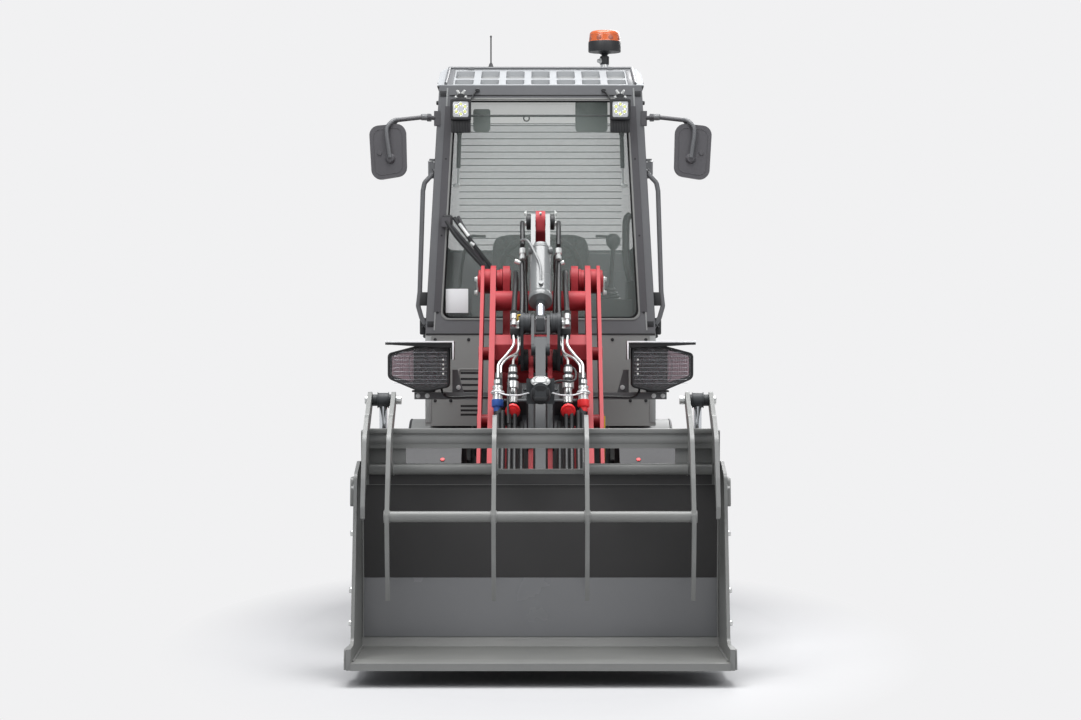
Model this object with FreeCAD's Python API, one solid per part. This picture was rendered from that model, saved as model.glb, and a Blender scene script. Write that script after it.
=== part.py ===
import FreeCAD, Part
import math
import os

# Compact articulated wheel loader with cab and grapple bucket.
# Millimetres. +X is the viewer's right when facing the bucket, -Y is forward, +Z is up.
# The origin is on the ground, in the middle of the machine's outer box.

V = FreeCAD.Vector

# ---------------------------------------------------------------- driving dimensions
# Wheels and axles
TYRE_R = 390.0
TYRE_WIDTH = 255.0
CARCASS = 20.0
LUG_HEIGHT = 14.0
LUG_COUNT = 18
TRACK_HALF = 435.0
FRONT_AXLE_Y = -490.0
REAR_AXLE_Y = 890.0
RIM_R = 195.0
RIM_WIDTH = 229.0
RIM_WALL = 8.0
HUB_R = 84.0
AXLE_R = 55.0
DIFF_R = 116.0
BRAKE_R = 112.0
HUB_GAP = 0.5

# Chassis
ARTIC_Y = 190.0
PIVOT_PIN_R = 30.0
PIN_FIT = 0.1
PLATE = 28.0
FRONT_IN_HALF = 124.0
REAR_HALF = 165.0
REAR_PLATE = 22.0
FRAME_BOTTOM = TYRE_R + 60.0
FRAME_TOP = TYRE_R + 230.0
FRONT_END_Y = -640.0
REAR_END_Y = 1930.0
ARCH_IN = TRACK_HALF - 135.0
ARCH_OUT = TRACK_HALF + 125.0
EAR_THICK = 26.0
EAR_R = 70.0
EAR_GAP = 2.0
LOWER_EAR_Z = TYRE_R - 18.0
UPPER_EAR_Z = TYRE_R + 200.0

# Arm, linkage and cylinders, as points (y, z) in the machine's side plane
ARM_PIVOT = (-30.0, 1420.0)
ARM_TIP = (-1210.0, 280.0)
LEVER_PIVOT = (-450.0, 1100.0)
LEVER_REACH = (-50.0, 143.0)
TILT_BASE = (-60.0, 1659.0)
LIFT_BASE = (-200.0, FRAME_BOTTOM + 20.0)
LIFT_EYE = (-212.0, 1144.0)
ARM_IN = 180.0
ARM_INNER_PLATE = 22.0
ARM_GAP = 25.0
ARM_OUTER_PLATE = 14.0
ARM_PIN_R = 25.0
TIP_PIN_R = 22.0
RIB_IN = 28.0
RIB_THICK = 18.0
LEVER_IN = 66.0
LEVER_THICK = 12.0
LINK_HALF = 19.0
SOCKET = (-960.0, 981.0)
SOCKET_R = 34.0

# Steering cylinder, as points (x, y)
STEER_BASE = (235.0, 600.0)
STEER_EYE = (215.0, -40.0)
STEER_Z = TYRE_R + 115.0

# Bucket and grapple
BUCKET_HALF = 650.0
SIDE_PLATE = 12.0
LIP_Y = -1930.0
LIP_BOTTOM = 56.0
FLOOR_TOP = 77.0
BACK_Y = -1320.0
BACK_WALL = 10.0
CREASE_Z = 320.0
BUCKET_TOP = 711.0
GRAPPLE_PIVOT = (-1405.0, 713.0)
GRAPPLE_EYE = (-1250.0, 955.0)
GRAPPLE_BASE = (-1225.0, 250.0)
GRAPPLE_CYL_X = BUCKET_HALF - 82.5
TINE = 15.0
INNER_TINE_X = 162.0
LONG_TINE_X = BUCKET_HALF - 120.0
SHORT_TINE_X = BUCKET_HALF - 35.0

# Cab
CAB_FRONT = 270.0
CAB_REAR = 1240.0
CAB_LOW_HALF = 481.0
CAB_ROOF_HALF = 423.0
CAB_FLOOR_Z = 2 * TYRE_R + 45.0
CAB_SEAM_Z = CAB_FLOOR_Z + 385.0
CAB_EAVE_Z = CAB_FLOOR_Z + 1421.0
CAB_WALL = 40.0
ROOF_TOP = CAB_EAVE_Z + 122.0
ROOF_CORNER = 42.0
ROOF_WALL = 24.0
ROOF_CREST_Y = 720.0
ROOF_HOLLOW_Y = 368.0
ROOF_SLOTS = 7
ROOF_SLOT_PITCH = 107.0
ROOF_SLOT_ROWS = ((312.0, 430.0), (455.0, 640.0))
FLOOR_THICK = 35.0
GLASS = 6.0
DOOR_FRONT = 335.0
DOOR_REAR = 1105.0
DOOR_BOTTOM = CAB_FLOOR_Z + 100.0
DOOR_TOP = CAB_FLOOR_Z + 1345.0
DOOR_GAP = 6.0
DOOR_HINGE = (494.0, 1122.0)
DOOR_HINGE_Z = (CAB_FLOOR_Z + 215.0, CAB_FLOOR_Z + 1135.0)
DOOR_PIN_R = 6.0

# Hood and rear end
HOOD_HALF = 430.0
HOOD_TOP = CAB_FLOOR_Z + 475.0
HOOD_BOTTOM = CAB_FLOOR_Z + 25.0
HOOD_END_Y = REAR_END_Y - 90.0
HOOD_WALL = 14.0
HOOD_GAP = 25.0
HOOD_HINGE_R = 9.0
SEAT_GAP = 0.3
WEIGHT_FRONT = 1620.0
WEIGHT_BOTTOM = FRAME_BOTTOM - 20.0
REAR_LAMP = (300.0, 400.0, REAR_END_Y - 70.0, HOOD_BOTTOM - 150.0, HOOD_BOTTOM - 50.0)
TOW_PIN_Y = REAR_END_Y - 45.0
TOW_PIN_R = 16.0
TOW_JAW = (FRAME_BOTTOM + 55.0, FRAME_BOTTOM + 115.0)
TOW_WALL = 75.0
REAR_SILL_Z = HOOD_TOP + 288.0
REAR_MARGIN = 25.0
HOOD_HINGE = (CAB_REAR + HOOD_HINGE_R + SEAT_GAP, HOOD_TOP - 14.0)

# Seat and steering column, as points (y, z)
SEAT_Z = CAB_FLOOR_Z + 287.0
COLUMN_FOOT = (375.0, CAB_FLOOR_Z + 549.0)
COLUMN_TOP = (520.0, CAB_FLOOR_Z + 650.0)


# ---------------------------------------------------------------- helpers
def save(name, *shapes):
    """Write the given solids as one node."""
    solids = []
    for shape in shapes:
        solids += shape.Solids
    whole = solids[0] if len(solids) == 1 else Part.makeCompound(solids)
    if not whole.isValid():
        print("not valid:", name)
    whole.exportStep("parts/" + name + ".step")


def box(x0, x1, y0, y1, z0, z1):
    return Part.makeBox(x1 - x0, y1 - y0, z1 - z0, V(x0, y0, z0))


def fuse(*shapes):
    """One solid from overlapping ones."""
    return shapes[0].fuse(list(shapes[1:])) if len(shapes) > 1 else shapes[0]


def cut(base, *tools):
    return base.cut(list(tools))


def mirror_x(shape):
    return shape.mirror(V(0, 0, 0), V(1, 0, 0))


def both(shape):
    """The shape and its mirror image on the other side."""
    return [shape, mirror_x(shape)]


def rod(p, q, r):
    """A round bar from point p to point q."""
    start, end = V(*p), V(*q)
    return Part.makeCylinder(r, (end - start).Length, start, end - start)


def drum_x(x0, x1, at, r):
    """A cylinder along X at the side-plane point (y, z)."""
    return rod((x0, at[0], at[1]), (x1, at[0], at[1]), r)


def outline(points):
    """A closed outline of 2D points (u, v) or (u, v, r), with corner radius r."""
    count = len(points)
    ends = []
    edges = []
    for i, point in enumerate(points):
        here = V(point[0], point[1], 0)
        if len(point) < 3 or point[2] <= 0:
            ends.append((here, here, None))
            continue
        before = (V(*points[i - 1][:2], 0) - here).normalize()
        after = (V(*points[(i + 1) % count][:2], 0) - here).normalize()
        half = before.getAngle(after) / 2
        back = point[2] / math.tan(half)
        middle = here + (before + after).normalize() * (point[2] / math.sin(half) - point[2])
        ends.append((here + before * back, here + after * back, middle))
    for i, (start, end, middle) in enumerate(ends):
        if middle is not None:
            edges.append(Part.Arc(start, middle, end).toShape())
        following = ends[(i + 1) % count][0]
        if (following - end).Length > 1e-6:
            edges.append(Part.makeLine(end, following))
    return Part.Face(Part.Wire(edges))


def side_plate(points, x0, x1):
    """A plate between x0 and x1 with its outline in (y, z)."""
    plate = outline(points).extrude(V(0, 0, x1 - x0))
    plate.Placement = FreeCAD.Placement(V(x0, 0, 0), FreeCAD.Rotation(V(0, 1, 0), V(0, 0, 1), V(1, 0, 0), "ZXY"))
    return plate


def front_plate(points, y0, y1):
    """A plate between y0 and y1 with its outline in (x, z)."""
    plate = outline(points).extrude(V(0, 0, y0 - y1))
    plate.Placement = FreeCAD.Placement(V(0, y0, 0), FreeCAD.Rotation(V(1, 0, 0), V(0, 0, 1), V(0, -1, 0), "ZXY"))
    return plate


def top_plate(points, z0, z1):
    """A plate between z0 and z1 with its outline in (x, y)."""
    plate = outline(points).extrude(V(0, 0, z1 - z0))
    plate.translate(V(0, 0, z0))
    return plate


def link_face(p, rp, q, rq):
    """The outline of a tapered link: two round ends joined by their outer tangents."""
    a, b = V(p[0], p[1], 0), V(q[0], q[1], 0)
    along = b - a
    lean = math.acos((rp - rq) / along.Length)
    heading = math.atan2(along.y, along.x)
    up = V(math.cos(heading + lean), math.sin(heading + lean), 0)
    down = V(math.cos(heading - lean), math.sin(heading - lean), 0)
    back = V(-math.cos(heading), -math.sin(heading), 0)
    edges = [Part.makeLine(a + up * rp, b + up * rq), Part.Arc(b + up * rq, b - back * rq, b + down * rq).toShape(),
             Part.makeLine(b + down * rq, a + down * rp), Part.Arc(a + down * rp, a + back * rp, a + up * rp).toShape()]
    return Part.Face(Part.Wire(edges))


def link(p, rp, q, rq, x0, x1):
    """A tapered link plate between x0 and x1, from (y, z) point p to point q."""
    plate = link_face(p, rp, q, rq).extrude(V(0, 0, x1 - x0))
    plate.Placement = FreeCAD.Placement(V(x0, 0, 0), FreeCAD.Rotation(V(0, 1, 0), V(0, 0, 1), V(1, 0, 0), "ZXY"))
    return plate


def toward(p, q, distance):
    """The point at a distance from p on the way to q, in 2D."""
    length = math.dist(p, q)
    return (p[0] + (q[0] - p[0]) * distance / length, p[1] + (q[1] - p[1]) * distance / length)


def lathe_x(profile, centre):
    """A solid turned about the X axis through centre, from (x, r) points."""
    points = [V(x, 0, r) for x, r in profile]
    face = Part.Face(Part.makePolygon(points + [points[0]]))
    solid = face.revolve(V(0, 0, 0), V(1, 0, 0), 360)
    solid.translate(V(*centre))
    return solid


def pipe(points, r, bend):
    """A round tube bent along the points, with the given bend radius."""
    nodes = [V(*p) for p in points]
    edges = []
    start = nodes[0]
    for i in range(1, len(nodes) - 1):
        here = nodes[i]
        before = (nodes[i - 1] - here).normalize()
        after = (nodes[i + 1] - here).normalize()
        half = before.getAngle(after) / 2
        back = bend / math.tan(half)
        middle = here + (before + after).normalize() * (bend / math.sin(half) - bend)
        edges.append(Part.makeLine(start, here + before * back))
        edges.append(Part.Arc(here + before * back, middle, here + after * back).toShape())
        start = here + after * back
    edges.append(Part.makeLine(start, nodes[-1]))
    path = Part.Wire(edges)
    ring = Part.Wire(Part.makeCircle(r, nodes[0], nodes[1] - nodes[0]))
    return path.makePipeShell([ring], True, False)


# ---------------------------------------------------------------- wheels
def tyre(side, y):
    """A block tyre: a hollow carcass, open towards its rim, with two staggered rows of lugs."""
    half = TYRE_WIDTH / 2
    crown = TYRE_R - LUG_HEIGHT
    shoulder = TYRE_R - 32
    seat = RIM_R + 1
    outer = [(-RIM_WIDTH / 2 + 10, seat), (-RIM_WIDTH / 2 + 10, seat + 12), (-half + 4, seat + 45), (-half, 300), (-half + 10, shoulder),
             (-half + 38, crown), (half - 38, crown), (half - 10, shoulder), (half, 300),
             (half - 4, seat + 45), (RIM_WIDTH / 2 - 10, seat + 12), (RIM_WIDTH / 2 - 10, seat)]
    inner = [(RIM_WIDTH / 2 - 34, seat), (half - 4 - CARCASS, seat + 48), (half - CARCASS, 300),
             (half - 10 - CARCASS, shoulder - 22), (half - 44, crown - 28), (-half + 44, crown - 28),
             (-half + 10 + CARCASS, shoulder - 22), (-half + CARCASS, 300), (-half + 4 + CARCASS, seat + 48),
             (-RIM_WIDTH / 2 + 34, seat)]
    lugs = []
    for i in range(2 * LUG_COUNT):
        x0, x1 = (8, half - 14) if i % 2 else (14 - half, -8)
        lug = box(x0, x1, -24, 24, crown - 8, TYRE_R)
        lug.rotate(V(0, 0, 0), V(1, 0, 0), 180 * i / LUG_COUNT)
        lugs.append(lug)
    whole = fuse(lathe_x(outer + inner, (0, 0, 0)), *lugs)
    whole.translate(V(side * TRACK_HALF, y, TYRE_R))
    return whole


def rim(side, y):
    """A one-piece rim with its disc and hub cap, seated on the tyre's beads."""
    half = RIM_WIDTH / 2
    hub_in = TRACK_HALF - axle_end()
    disc = 30.0
    profile = [(-half, RIM_R + 12), (-half + 9, RIM_R + 12), (-half + 9, RIM_R), (-40, RIM_R), (0, RIM_R - 14),
               (40, RIM_R), (half - 9, RIM_R), (half - 9, RIM_R + 12), (half, RIM_R + 12), (half, RIM_R - RIM_WALL),
               (40, RIM_R - RIM_WALL), (disc + 6, RIM_R - 14 - RIM_WALL), (disc + 4, HUB_R + 42), (disc + 14, HUB_R + 18),
               (disc + 14, 62), (disc + 40, 58), (disc + 46, 46), (disc + 46, 0), (-hub_in + HUB_GAP, 0),
               (-hub_in + HUB_GAP, HUB_R), (disc, HUB_R), (disc - 10, HUB_R + 36), (disc - 6, RIM_R - 14 - RIM_WALL),
               (0, RIM_R - 14 - RIM_WALL), (-40, RIM_R - RIM_WALL), (-half, RIM_R - RIM_WALL)]
    return lathe_x([(side * x, r) for x, r in profile], (side * TRACK_HALF, y, TYRE_R))


def axle_end():
    """Half the length of an axle, to the faces that the hubs run on."""
    return TRACK_HALF - 83.0


def axle(y):
    """A rigid drive axle with its differential, brake drums and frame pads."""
    end = axle_end()
    tube = lathe_x([(-end, 0), (-end, HUB_R - 12), (-end + 18, HUB_R - 12), (-end + 18, BRAKE_R), (-end + 62, BRAKE_R),
                    (-end + 76, AXLE_R), (-DIFF_R - 4, AXLE_R), (-DIFF_R + 30, DIFF_R - 22), (-40, DIFF_R),
                    (40, DIFF_R), (DIFF_R - 30, DIFF_R - 22), (DIFF_R + 4, AXLE_R), (end - 76, AXLE_R),
                    (end - 62, BRAKE_R), (end - 18, BRAKE_R), (end - 18, HUB_R - 12), (end, HUB_R - 12), (end, 0)],
                   (0, y, TYRE_R))
    nose = 1 if y < ARTIC_Y else -1
    pinion = rod((0, y, TYRE_R), (0, y + nose * 170, TYRE_R), 58)
    pads = [box(s * 170 - 30, s * 170 + 30, y - 60, y + 60, TYRE_R, FRAME_BOTTOM) for s in (-1, 1)]
    return fuse(tube, pinion, *pads)


# ---------------------------------------------------------------- front chassis
def cheek_outline():
    """The tower's side plate in (y, z), from the axle seat up to the arm pivot."""
    top = ARM_PIVOT[1] + 62
    y = ARM_PIVOT[0]
    return [(y - 62, top, 60), (y + 62, top, 60), (y + 72, 1180, 60), (70, 900, 60), (60, FRAME_TOP + 40, 20),
            (60, FRAME_BOTTOM, 20), (-110, FRAME_BOTTOM), (-110, TYRE_R - 35, 10), (FRONT_AXLE_Y + 110, TYRE_R - 35, 10),
            (FRONT_AXLE_Y + 100, FRAME_BOTTOM), (FRONT_END_Y, FRAME_BOTTOM, 20), (FRONT_END_Y, FRAME_TOP - 60, 40),
            (-430, FRAME_TOP + 20, 60), (-330, 860, 60), (-215, 1085, 60), (y - 62, 1290, 60)]


def tower():
    """The tower: two cheeks that carry the arm's pivot pins, joined low down."""
    cheek = side_plate(cheek_outline(), FRONT_IN_HALF, FRONT_IN_HALF + PLATE)
    edge = FRONT_IN_HALF + PLATE
    boss = drum_x(edge - 1, ARM_IN - 2, ARM_PIVOT, 46)
    collar = drum_x(FRONT_IN_HALF - 4, FRONT_IN_HALF + 1, ARM_PIVOT, 46)
    bore = drum_x(FRONT_IN_HALF - 6, ARM_IN + 2, ARM_PIVOT, ARM_PIN_R + PIN_FIT)
    low, high = FRAME_TOP - 60, FRAME_TOP + 80
    window = side_plate([(-190, low, 30), (10, low, 30), (10, high, 30), (-250, high, 30)], 0, 400)
    cheek = cut(fuse(cheek, boss, collar), bore, window)
    back = side_plate([(20, FRAME_TOP), (44, FRAME_TOP), (52, 1130), (30, 1130)], -FRONT_IN_HALF, FRONT_IN_HALF)
    lift_ears = [link(LIFT_BASE, 40, (LIFT_BASE[0], FRAME_BOTTOM - 20), 40, x - 8, x + 8) for x in (-52, 52)]
    lift_ears = [cut(ear, drum_x(-80, 80, LIFT_BASE, 18 + PIN_FIT)) for ear in lift_ears]
    sill = box(-FRONT_IN_HALF, FRONT_IN_HALF, LIFT_BASE[0] - 70, LIFT_BASE[0] + 70,
               FRAME_BOTTOM - 90, FRAME_BOTTOM - 50)
    ears = [cut(fuse(*lift_ears, sill), box(-40, 40, -400, 0, FRAME_BOTTOM - 49, FRAME_TOP))]
    return fuse(cheek, mirror_x(cheek), back, *ears)


def front_frame():
    """The anthracite front frame: nose box, cover plate, articulation ears and steering bracket."""
    half = FRONT_IN_HALF
    nose = cut(box(-half, half, FRONT_END_Y + 20, -400, FRAME_BOTTOM, FRAME_TOP - 35),
               box(-half + 16, half - 16, FRONT_END_Y + 36, -416, FRAME_BOTTOM + 14, FRAME_TOP - 34),
               drum_x(-half - 1, half + 1, (FRONT_AXLE_Y, TYRE_R), DIFF_R + 5))
    cover = box(-half, half, -372, -362, FRAME_TOP + 40, 1010)
    cover_feet = box(-half, half, -372, -340, FRAME_TOP - 60, FRAME_TOP + 42)
    wall = box(-half, half, -92, -64, LOWER_EAR_Z, UPPER_EAR_Z + EAR_THICK)
    ears = []
    for z in (LOWER_EAR_Z, UPPER_EAR_Z):
        ear = top_plate([(-half, -66), (half, -66), (half, 0), (EAR_R, ARTIC_Y - 30), (-EAR_R, ARTIC_Y - 30),
                         (-half, 0)], z, z + EAR_THICK)
        round_end = rod((0, ARTIC_Y, z), (0, ARTIC_Y, z + EAR_THICK), EAR_R)
        neck = box(-EAR_R, EAR_R, ARTIC_Y - 60, ARTIC_Y, z, z + EAR_THICK)
        bore = rod((0, ARTIC_Y, z - 1), (0, ARTIC_Y, z + EAR_THICK + 1), PIVOT_PIN_R + PIN_FIT)
        ears.append(cut(fuse(ear, neck, round_end), bore))
    return fuse(nose), fuse(cover, cover_feet), fuse(wall, *ears)


def steering_bracket():
    """Two plates on the tower's side that hold the steering cylinder's rod eye between them."""
    x, y = STEER_EYE
    plates = []
    for z in (STEER_Z - 44, STEER_Z + 28):
        face = top_plate([(FRONT_IN_HALF + PLATE, y - 50), (x, y - 32), (x, y + 32), (FRONT_IN_HALF + PLATE, y + 50)],
                         z, z + 16)
        plates.append(fuse(face, rod((x, y, z), (x, y, z + 16), 32)))
    return plates


def fender(side, y, start, end, x0, x1, gap, wall):
    """A wheel arch over a tyre, from one angle to another about the axle, in degrees from the rear."""
    inner = TYRE_R + gap
    hole = rod((x0 - 1, y, TYRE_R), (x1 + 1, y, TYRE_R), inner)
    ring = cut(rod((x0, y, TYRE_R), (x1, y, TYRE_R), inner + wall), hole)
    reach = 3 * inner
    lo, hi = math.radians(start), math.radians(end)
    wedge = side_plate([(y, TYRE_R), (y + reach * math.cos(lo), TYRE_R + reach * math.sin(lo)),
                        (y + reach * math.cos((lo + hi) / 2), TYRE_R + reach * math.sin((lo + hi) / 2)),
                        (y + reach * math.cos(hi), TYRE_R + reach * math.sin(hi))], x0 - 2, x1 + 2)
    arch = ring.common(wedge)
    return arch if side > 0 else mirror_x(arch)


def front_fenders():
    """Fenders on brackets from the tower's sides."""
    edge = FRONT_IN_HALF + PLATE
    parts = []
    for side in (1, -1):
        arch = fender(1, FRONT_AXLE_Y, 28, 150, ARCH_IN, ARCH_OUT, 40, 10)
        arm_z = TYRE_R + math.sqrt((TYRE_R + 40) ** 2 - 150 ** 2) + 6
        bracket = box(edge, ARCH_IN + 6, FRONT_AXLE_Y + 90, FRONT_AXLE_Y + 150, FRAME_TOP - 60, FRAME_TOP - 40)
        post = box(ARCH_IN - 8, ARCH_IN + 6, FRONT_AXLE_Y + 90, FRONT_AXLE_Y + 150, FRAME_TOP - 60, arm_z)
        piece = fuse(arch, bracket, post)
        parts.append(piece if side > 0 else mirror_x(piece))
    return parts


LAMP_BAR_Y = -130.0
LAMP_IN = 364.0
LAMP_OUT = 611.0
LAMP_LOW = 976.0
LAMP_HIGH = 1162.0
LAMP_FRONT = -215.0
LAMP_BACK = -85.0


def lamp_bar():
    """The cross bar that carries the headlamps, in two halves off the tower's cheeks."""
    edge = FRONT_IN_HALF + PLATE
    bar = box(edge, 507, LAMP_BAR_Y - 25, LAMP_BAR_Y + 25, 942, 970)
    post = box(440, 470, LAMP_BAR_Y - 20, LAMP_BAR_Y + 20, 968, LAMP_LOW - SEAT_GAP)
    gusset = front_plate([(309, 969), (LAMP_IN - 9, 969), (LAMP_IN - 9, 1061), (LAMP_IN - 30, 1061)],
                         LAMP_BAR_Y - 4, LAMP_BAR_Y + 4)
    visor = box(LAMP_IN - 18, LAMP_OUT + 10, LAMP_FRONT - 20, LAMP_BACK, LAMP_HIGH + 8, LAMP_HIGH + 13)
    leg = box(LAMP_IN - 18, LAMP_IN - 13, LAMP_FRONT - 20, LAMP_BACK, LAMP_HIGH - 60, LAMP_HIGH + 13)
    stay = box(LAMP_IN + 40, LAMP_IN + 70, LAMP_BACK - 40, LAMP_BACK - 20, LAMP_HIGH + SEAT_GAP, LAMP_HIGH + 9)
    return [part for piece in (fuse(bar, post, gusset), fuse(visor, leg, stay)) for part in both(piece)]


def headlamps():
    """Headlamp housings, tapered towards the outside."""
    lamp = front_plate([(LAMP_IN, LAMP_LOW + 16, 18), (LAMP_IN + 76, LAMP_LOW, 40), (LAMP_IN + 127, LAMP_LOW, 60),
                        (LAMP_OUT, LAMP_LOW + 50, 26), (LAMP_OUT, LAMP_HIGH - 36, 18), (LAMP_IN + 110, LAMP_HIGH, 80),
                        (LAMP_IN + 40, LAMP_HIGH, 30), (LAMP_IN, LAMP_HIGH - 6, 16)], LAMP_FRONT, LAMP_BACK)
    return both(lamp)


# ---------------------------------------------------------------- loader arm
def arm_axes():
    """Unit vectors along the arm and square to it, in (y, z)."""
    length = math.dist(ARM_PIVOT, ARM_TIP)
    u = ((ARM_TIP[0] - ARM_PIVOT[0]) / length, (ARM_TIP[1] - ARM_PIVOT[1]) / length)
    return u, (u[1], -u[0]), length


def on_arm(s, h):
    """The (y, z) point at s along the arm from its pivot and h above its centre line."""
    u, n, _ = arm_axes()
    return (ARM_PIVOT[0] + s * u[0] + h * n[0], ARM_PIVOT[1] + s * u[1] + h * n[1])


def arm_outline(points):
    """Arm-frame points (s, h, r) as (y, z, r) points."""
    return [on_arm(p[0], p[1]) + tuple(p[2:]) for p in points]


def loader_arm():
    """The arm: two double-plate sides, hubs, cross box, centre ribs, cross tube and the tilt cylinder's lug."""
    length = arm_axes()[2]
    edge = [(-62, 62, 61), (200, 68, 200), (420, 82, 300), (900, 72, 300), (1400, 58, 300), (length + 52, 52, 51),
            (length + 52, -52, 51), (1400, -52, 300), (900, -74, 300), (420, -92, 300), (150, -70, 200),
            (-62, -62, 61)]
    shape = arm_outline(edge)
    gap_in = ARM_IN + ARM_INNER_PLATE
    gap_out = gap_in + ARM_GAP
    outside = gap_out + ARM_OUTER_PLATE
    inner = side_plate(shape, ARM_IN, gap_in)
    outer = side_plate(shape, gap_out, outside)
    hub = drum_x(gap_in - 1, gap_out + 1, ARM_PIVOT, 50)
    tip_hub = drum_x(gap_in - 1, gap_out + 1, ARM_TIP, 44)
    ties = [drum_x(gap_in - 1, gap_out + 1, on_arm(s, 0), 26) for s in (425, 800, 1180)]
    pin = drum_x(FRONT_IN_HALF - 4, outside + 14, ARM_PIVOT, ARM_PIN_R)
    tip_bore = drum_x(ARM_IN - 2, outside + 2, ARM_TIP, TIP_PIN_R + PIN_FIT)
    side = cut(fuse(inner, outer, hub, tip_hub, *ties), tip_bore)
    side = fuse(side, pin)
    cross_shape = arm_outline([(372, -60, 12), (478, -60, 12), (478, 15, 8), (435, 60, 8), (372, 60, 12)])
    hollow_shape = arm_outline([(384, -48), (466, -48), (466, 10), (430, 48), (384, 48)])
    cross = side_plate(cross_shape, -ARM_IN, ARM_IN)
    hollow = side_plate(hollow_shape, -ARM_IN, ARM_IN)
    cross = cut(cross, hollow)
    tube = cut(drum_x(-ARM_IN, ARM_IN, on_arm(1180, 0), 42), drum_x(-ARM_IN, ARM_IN, on_arm(1180, 0), 32))
    rib_shape = arm_outline([(470, -40, 20), (1180, -30, 28), (1180, 30, 28), (760, 42, 80), (592, 40, 14),
                             (562, 58, 14), (556, 92, 26), (490, 92, 30), (470, 58, 20)])
    rib = side_plate(rib_shape, RIB_IN, RIB_IN + RIB_THICK)
    rib = cut(rib, drum_x(0, 100, LEVER_PIVOT, 18 + PIN_FIT))
    lift_ear = fuse(link(LIFT_EYE, 34, on_arm(400, -40), 30, 36, 50))
    lift_ear = cut(lift_ear, hollow, drum_x(30, 60, LIFT_EYE, 20))
    root = drum_x(-ARM_IN, ARM_IN, on_arm(150, 30), 40)
    y, z = TILT_BASE
    lug = side_plate([(y - 45, z + 45, 44), (y + 45, z + 45, 44), (y + 50, z - 99, 60), (y + 20, z - 219, 60),
                      (y - 50, z - 359, 40), (y - 155, z - 339, 30), (y - 140, z - 274, 30), (y - 35, z - 179, 40),
                      (y - 10, z - 99, 20), (y - 45, z - 39, 20)], -19, 19)
    lug = cut(lug, drum_x(-30, 30, TILT_BASE, 20 + PIN_FIT))
    return fuse(side, mirror_x(side), cross, tube, rib, mirror_x(rib), lift_ear, mirror_x(lift_ear), root, lug)


def cylinder_barrel(base, eye, start, end, r, rod_r, place):
    """A barrel on the line from base to eye, bored for its rod; place turns plane points into 3D."""
    tube = rod(place(toward(base, eye, start)), place(toward(base, eye, end)), r)
    cavity = rod(place(toward(base, eye, start + 20)), place(toward(base, eye, end + 1)), rod_r + SEAT_GAP)
    return cut(tube, cavity)


def in_side_plane(x):
    """Places a (y, z) point at x."""
    return lambda p: (x, p[0], p[1])


def tilt_barrel():
    """The tilt cylinder's barrel, with two clevis plates either side of the arm's lug."""
    eye = lever_top()
    tube = cylinder_barrel(TILT_BASE, eye, 170, 480, 44, 18, in_side_plane(0))
    fork_end = toward(TILT_BASE, eye, 178)
    plates = [link(TILT_BASE, 40, fork_end, 36, s * 29.5 - 9, s * 29.5 + 9) for s in (-1, 1)]
    pin = drum_x(-40, 40, TILT_BASE, 20)
    heads = [drum_x(s * 46 - 8, s * 46 + 8, TILT_BASE, 26) for s in (-1, 1)]
    return fuse(tube, *plates, pin, *heads)


def tilt_rod():
    """The tilt cylinder's rod and its eye in the lever's head."""
    eye = lever_top()
    length = math.dist(TILT_BASE, eye)
    bar = rod((0,) + toward(TILT_BASE, eye, 330), (0,) + toward(TILT_BASE, eye, length - 20), 18)
    ring = drum_x(-17, 17, eye, 31)
    return cut(fuse(bar, ring), drum_x(-20, 20, eye, 16))


def lever_top():
    return (LEVER_PIVOT[0] + LEVER_REACH[0], LEVER_PIVOT[1] + LEVER_REACH[1])


def tilt_lever():
    """Two side plates with bearing drums at both ends; open in the middle for the link and the rod."""
    top = lever_top()
    outside = LEVER_IN + LEVER_THICK
    plate = link(LEVER_PIVOT, 44, top, 42, LEVER_IN, outside)
    low_drum = drum_x(RIB_IN + RIB_THICK + 2, LEVER_IN + 1, LEVER_PIVOT, 40)
    high_drum = drum_x(38, LEVER_IN + 1, top, 38)
    low_pin = drum_x(RIB_IN - 2, outside + 6, LEVER_PIVOT, 18)
    high_pin = drum_x(24.5, outside + 6, top, 16)
    side = fuse(plate, low_drum, high_drum, low_pin, high_pin)
    return both(side)


def coupler_pin():
    return (ARM_TIP[0] + LEVER_REACH[0], ARM_TIP[1] + LEVER_REACH[1])


def push_link():
    """The bar from the lever's head to the coupler, forked at its head around the rod's eye."""
    top, low = lever_top(), coupler_pin()
    cheeks = [link(top, 34, toward(top, low, 130), 26, x0, x1) for x0, x1 in ((24.5, 36), (-36, -24.5))]
    bridge = link(toward(top, low, 104), 24, toward(top, low, 140), 24, -36, 36)
    bar = link(toward(top, low, 110), 24, low, 28, -LINK_HALF, LINK_HALF)
    body = fuse(bar, bridge, *cheeks)
    return cut(body, drum_x(-40, 40, top, 16 + PIN_FIT), drum_x(-40, 40, low, 15))


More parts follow.
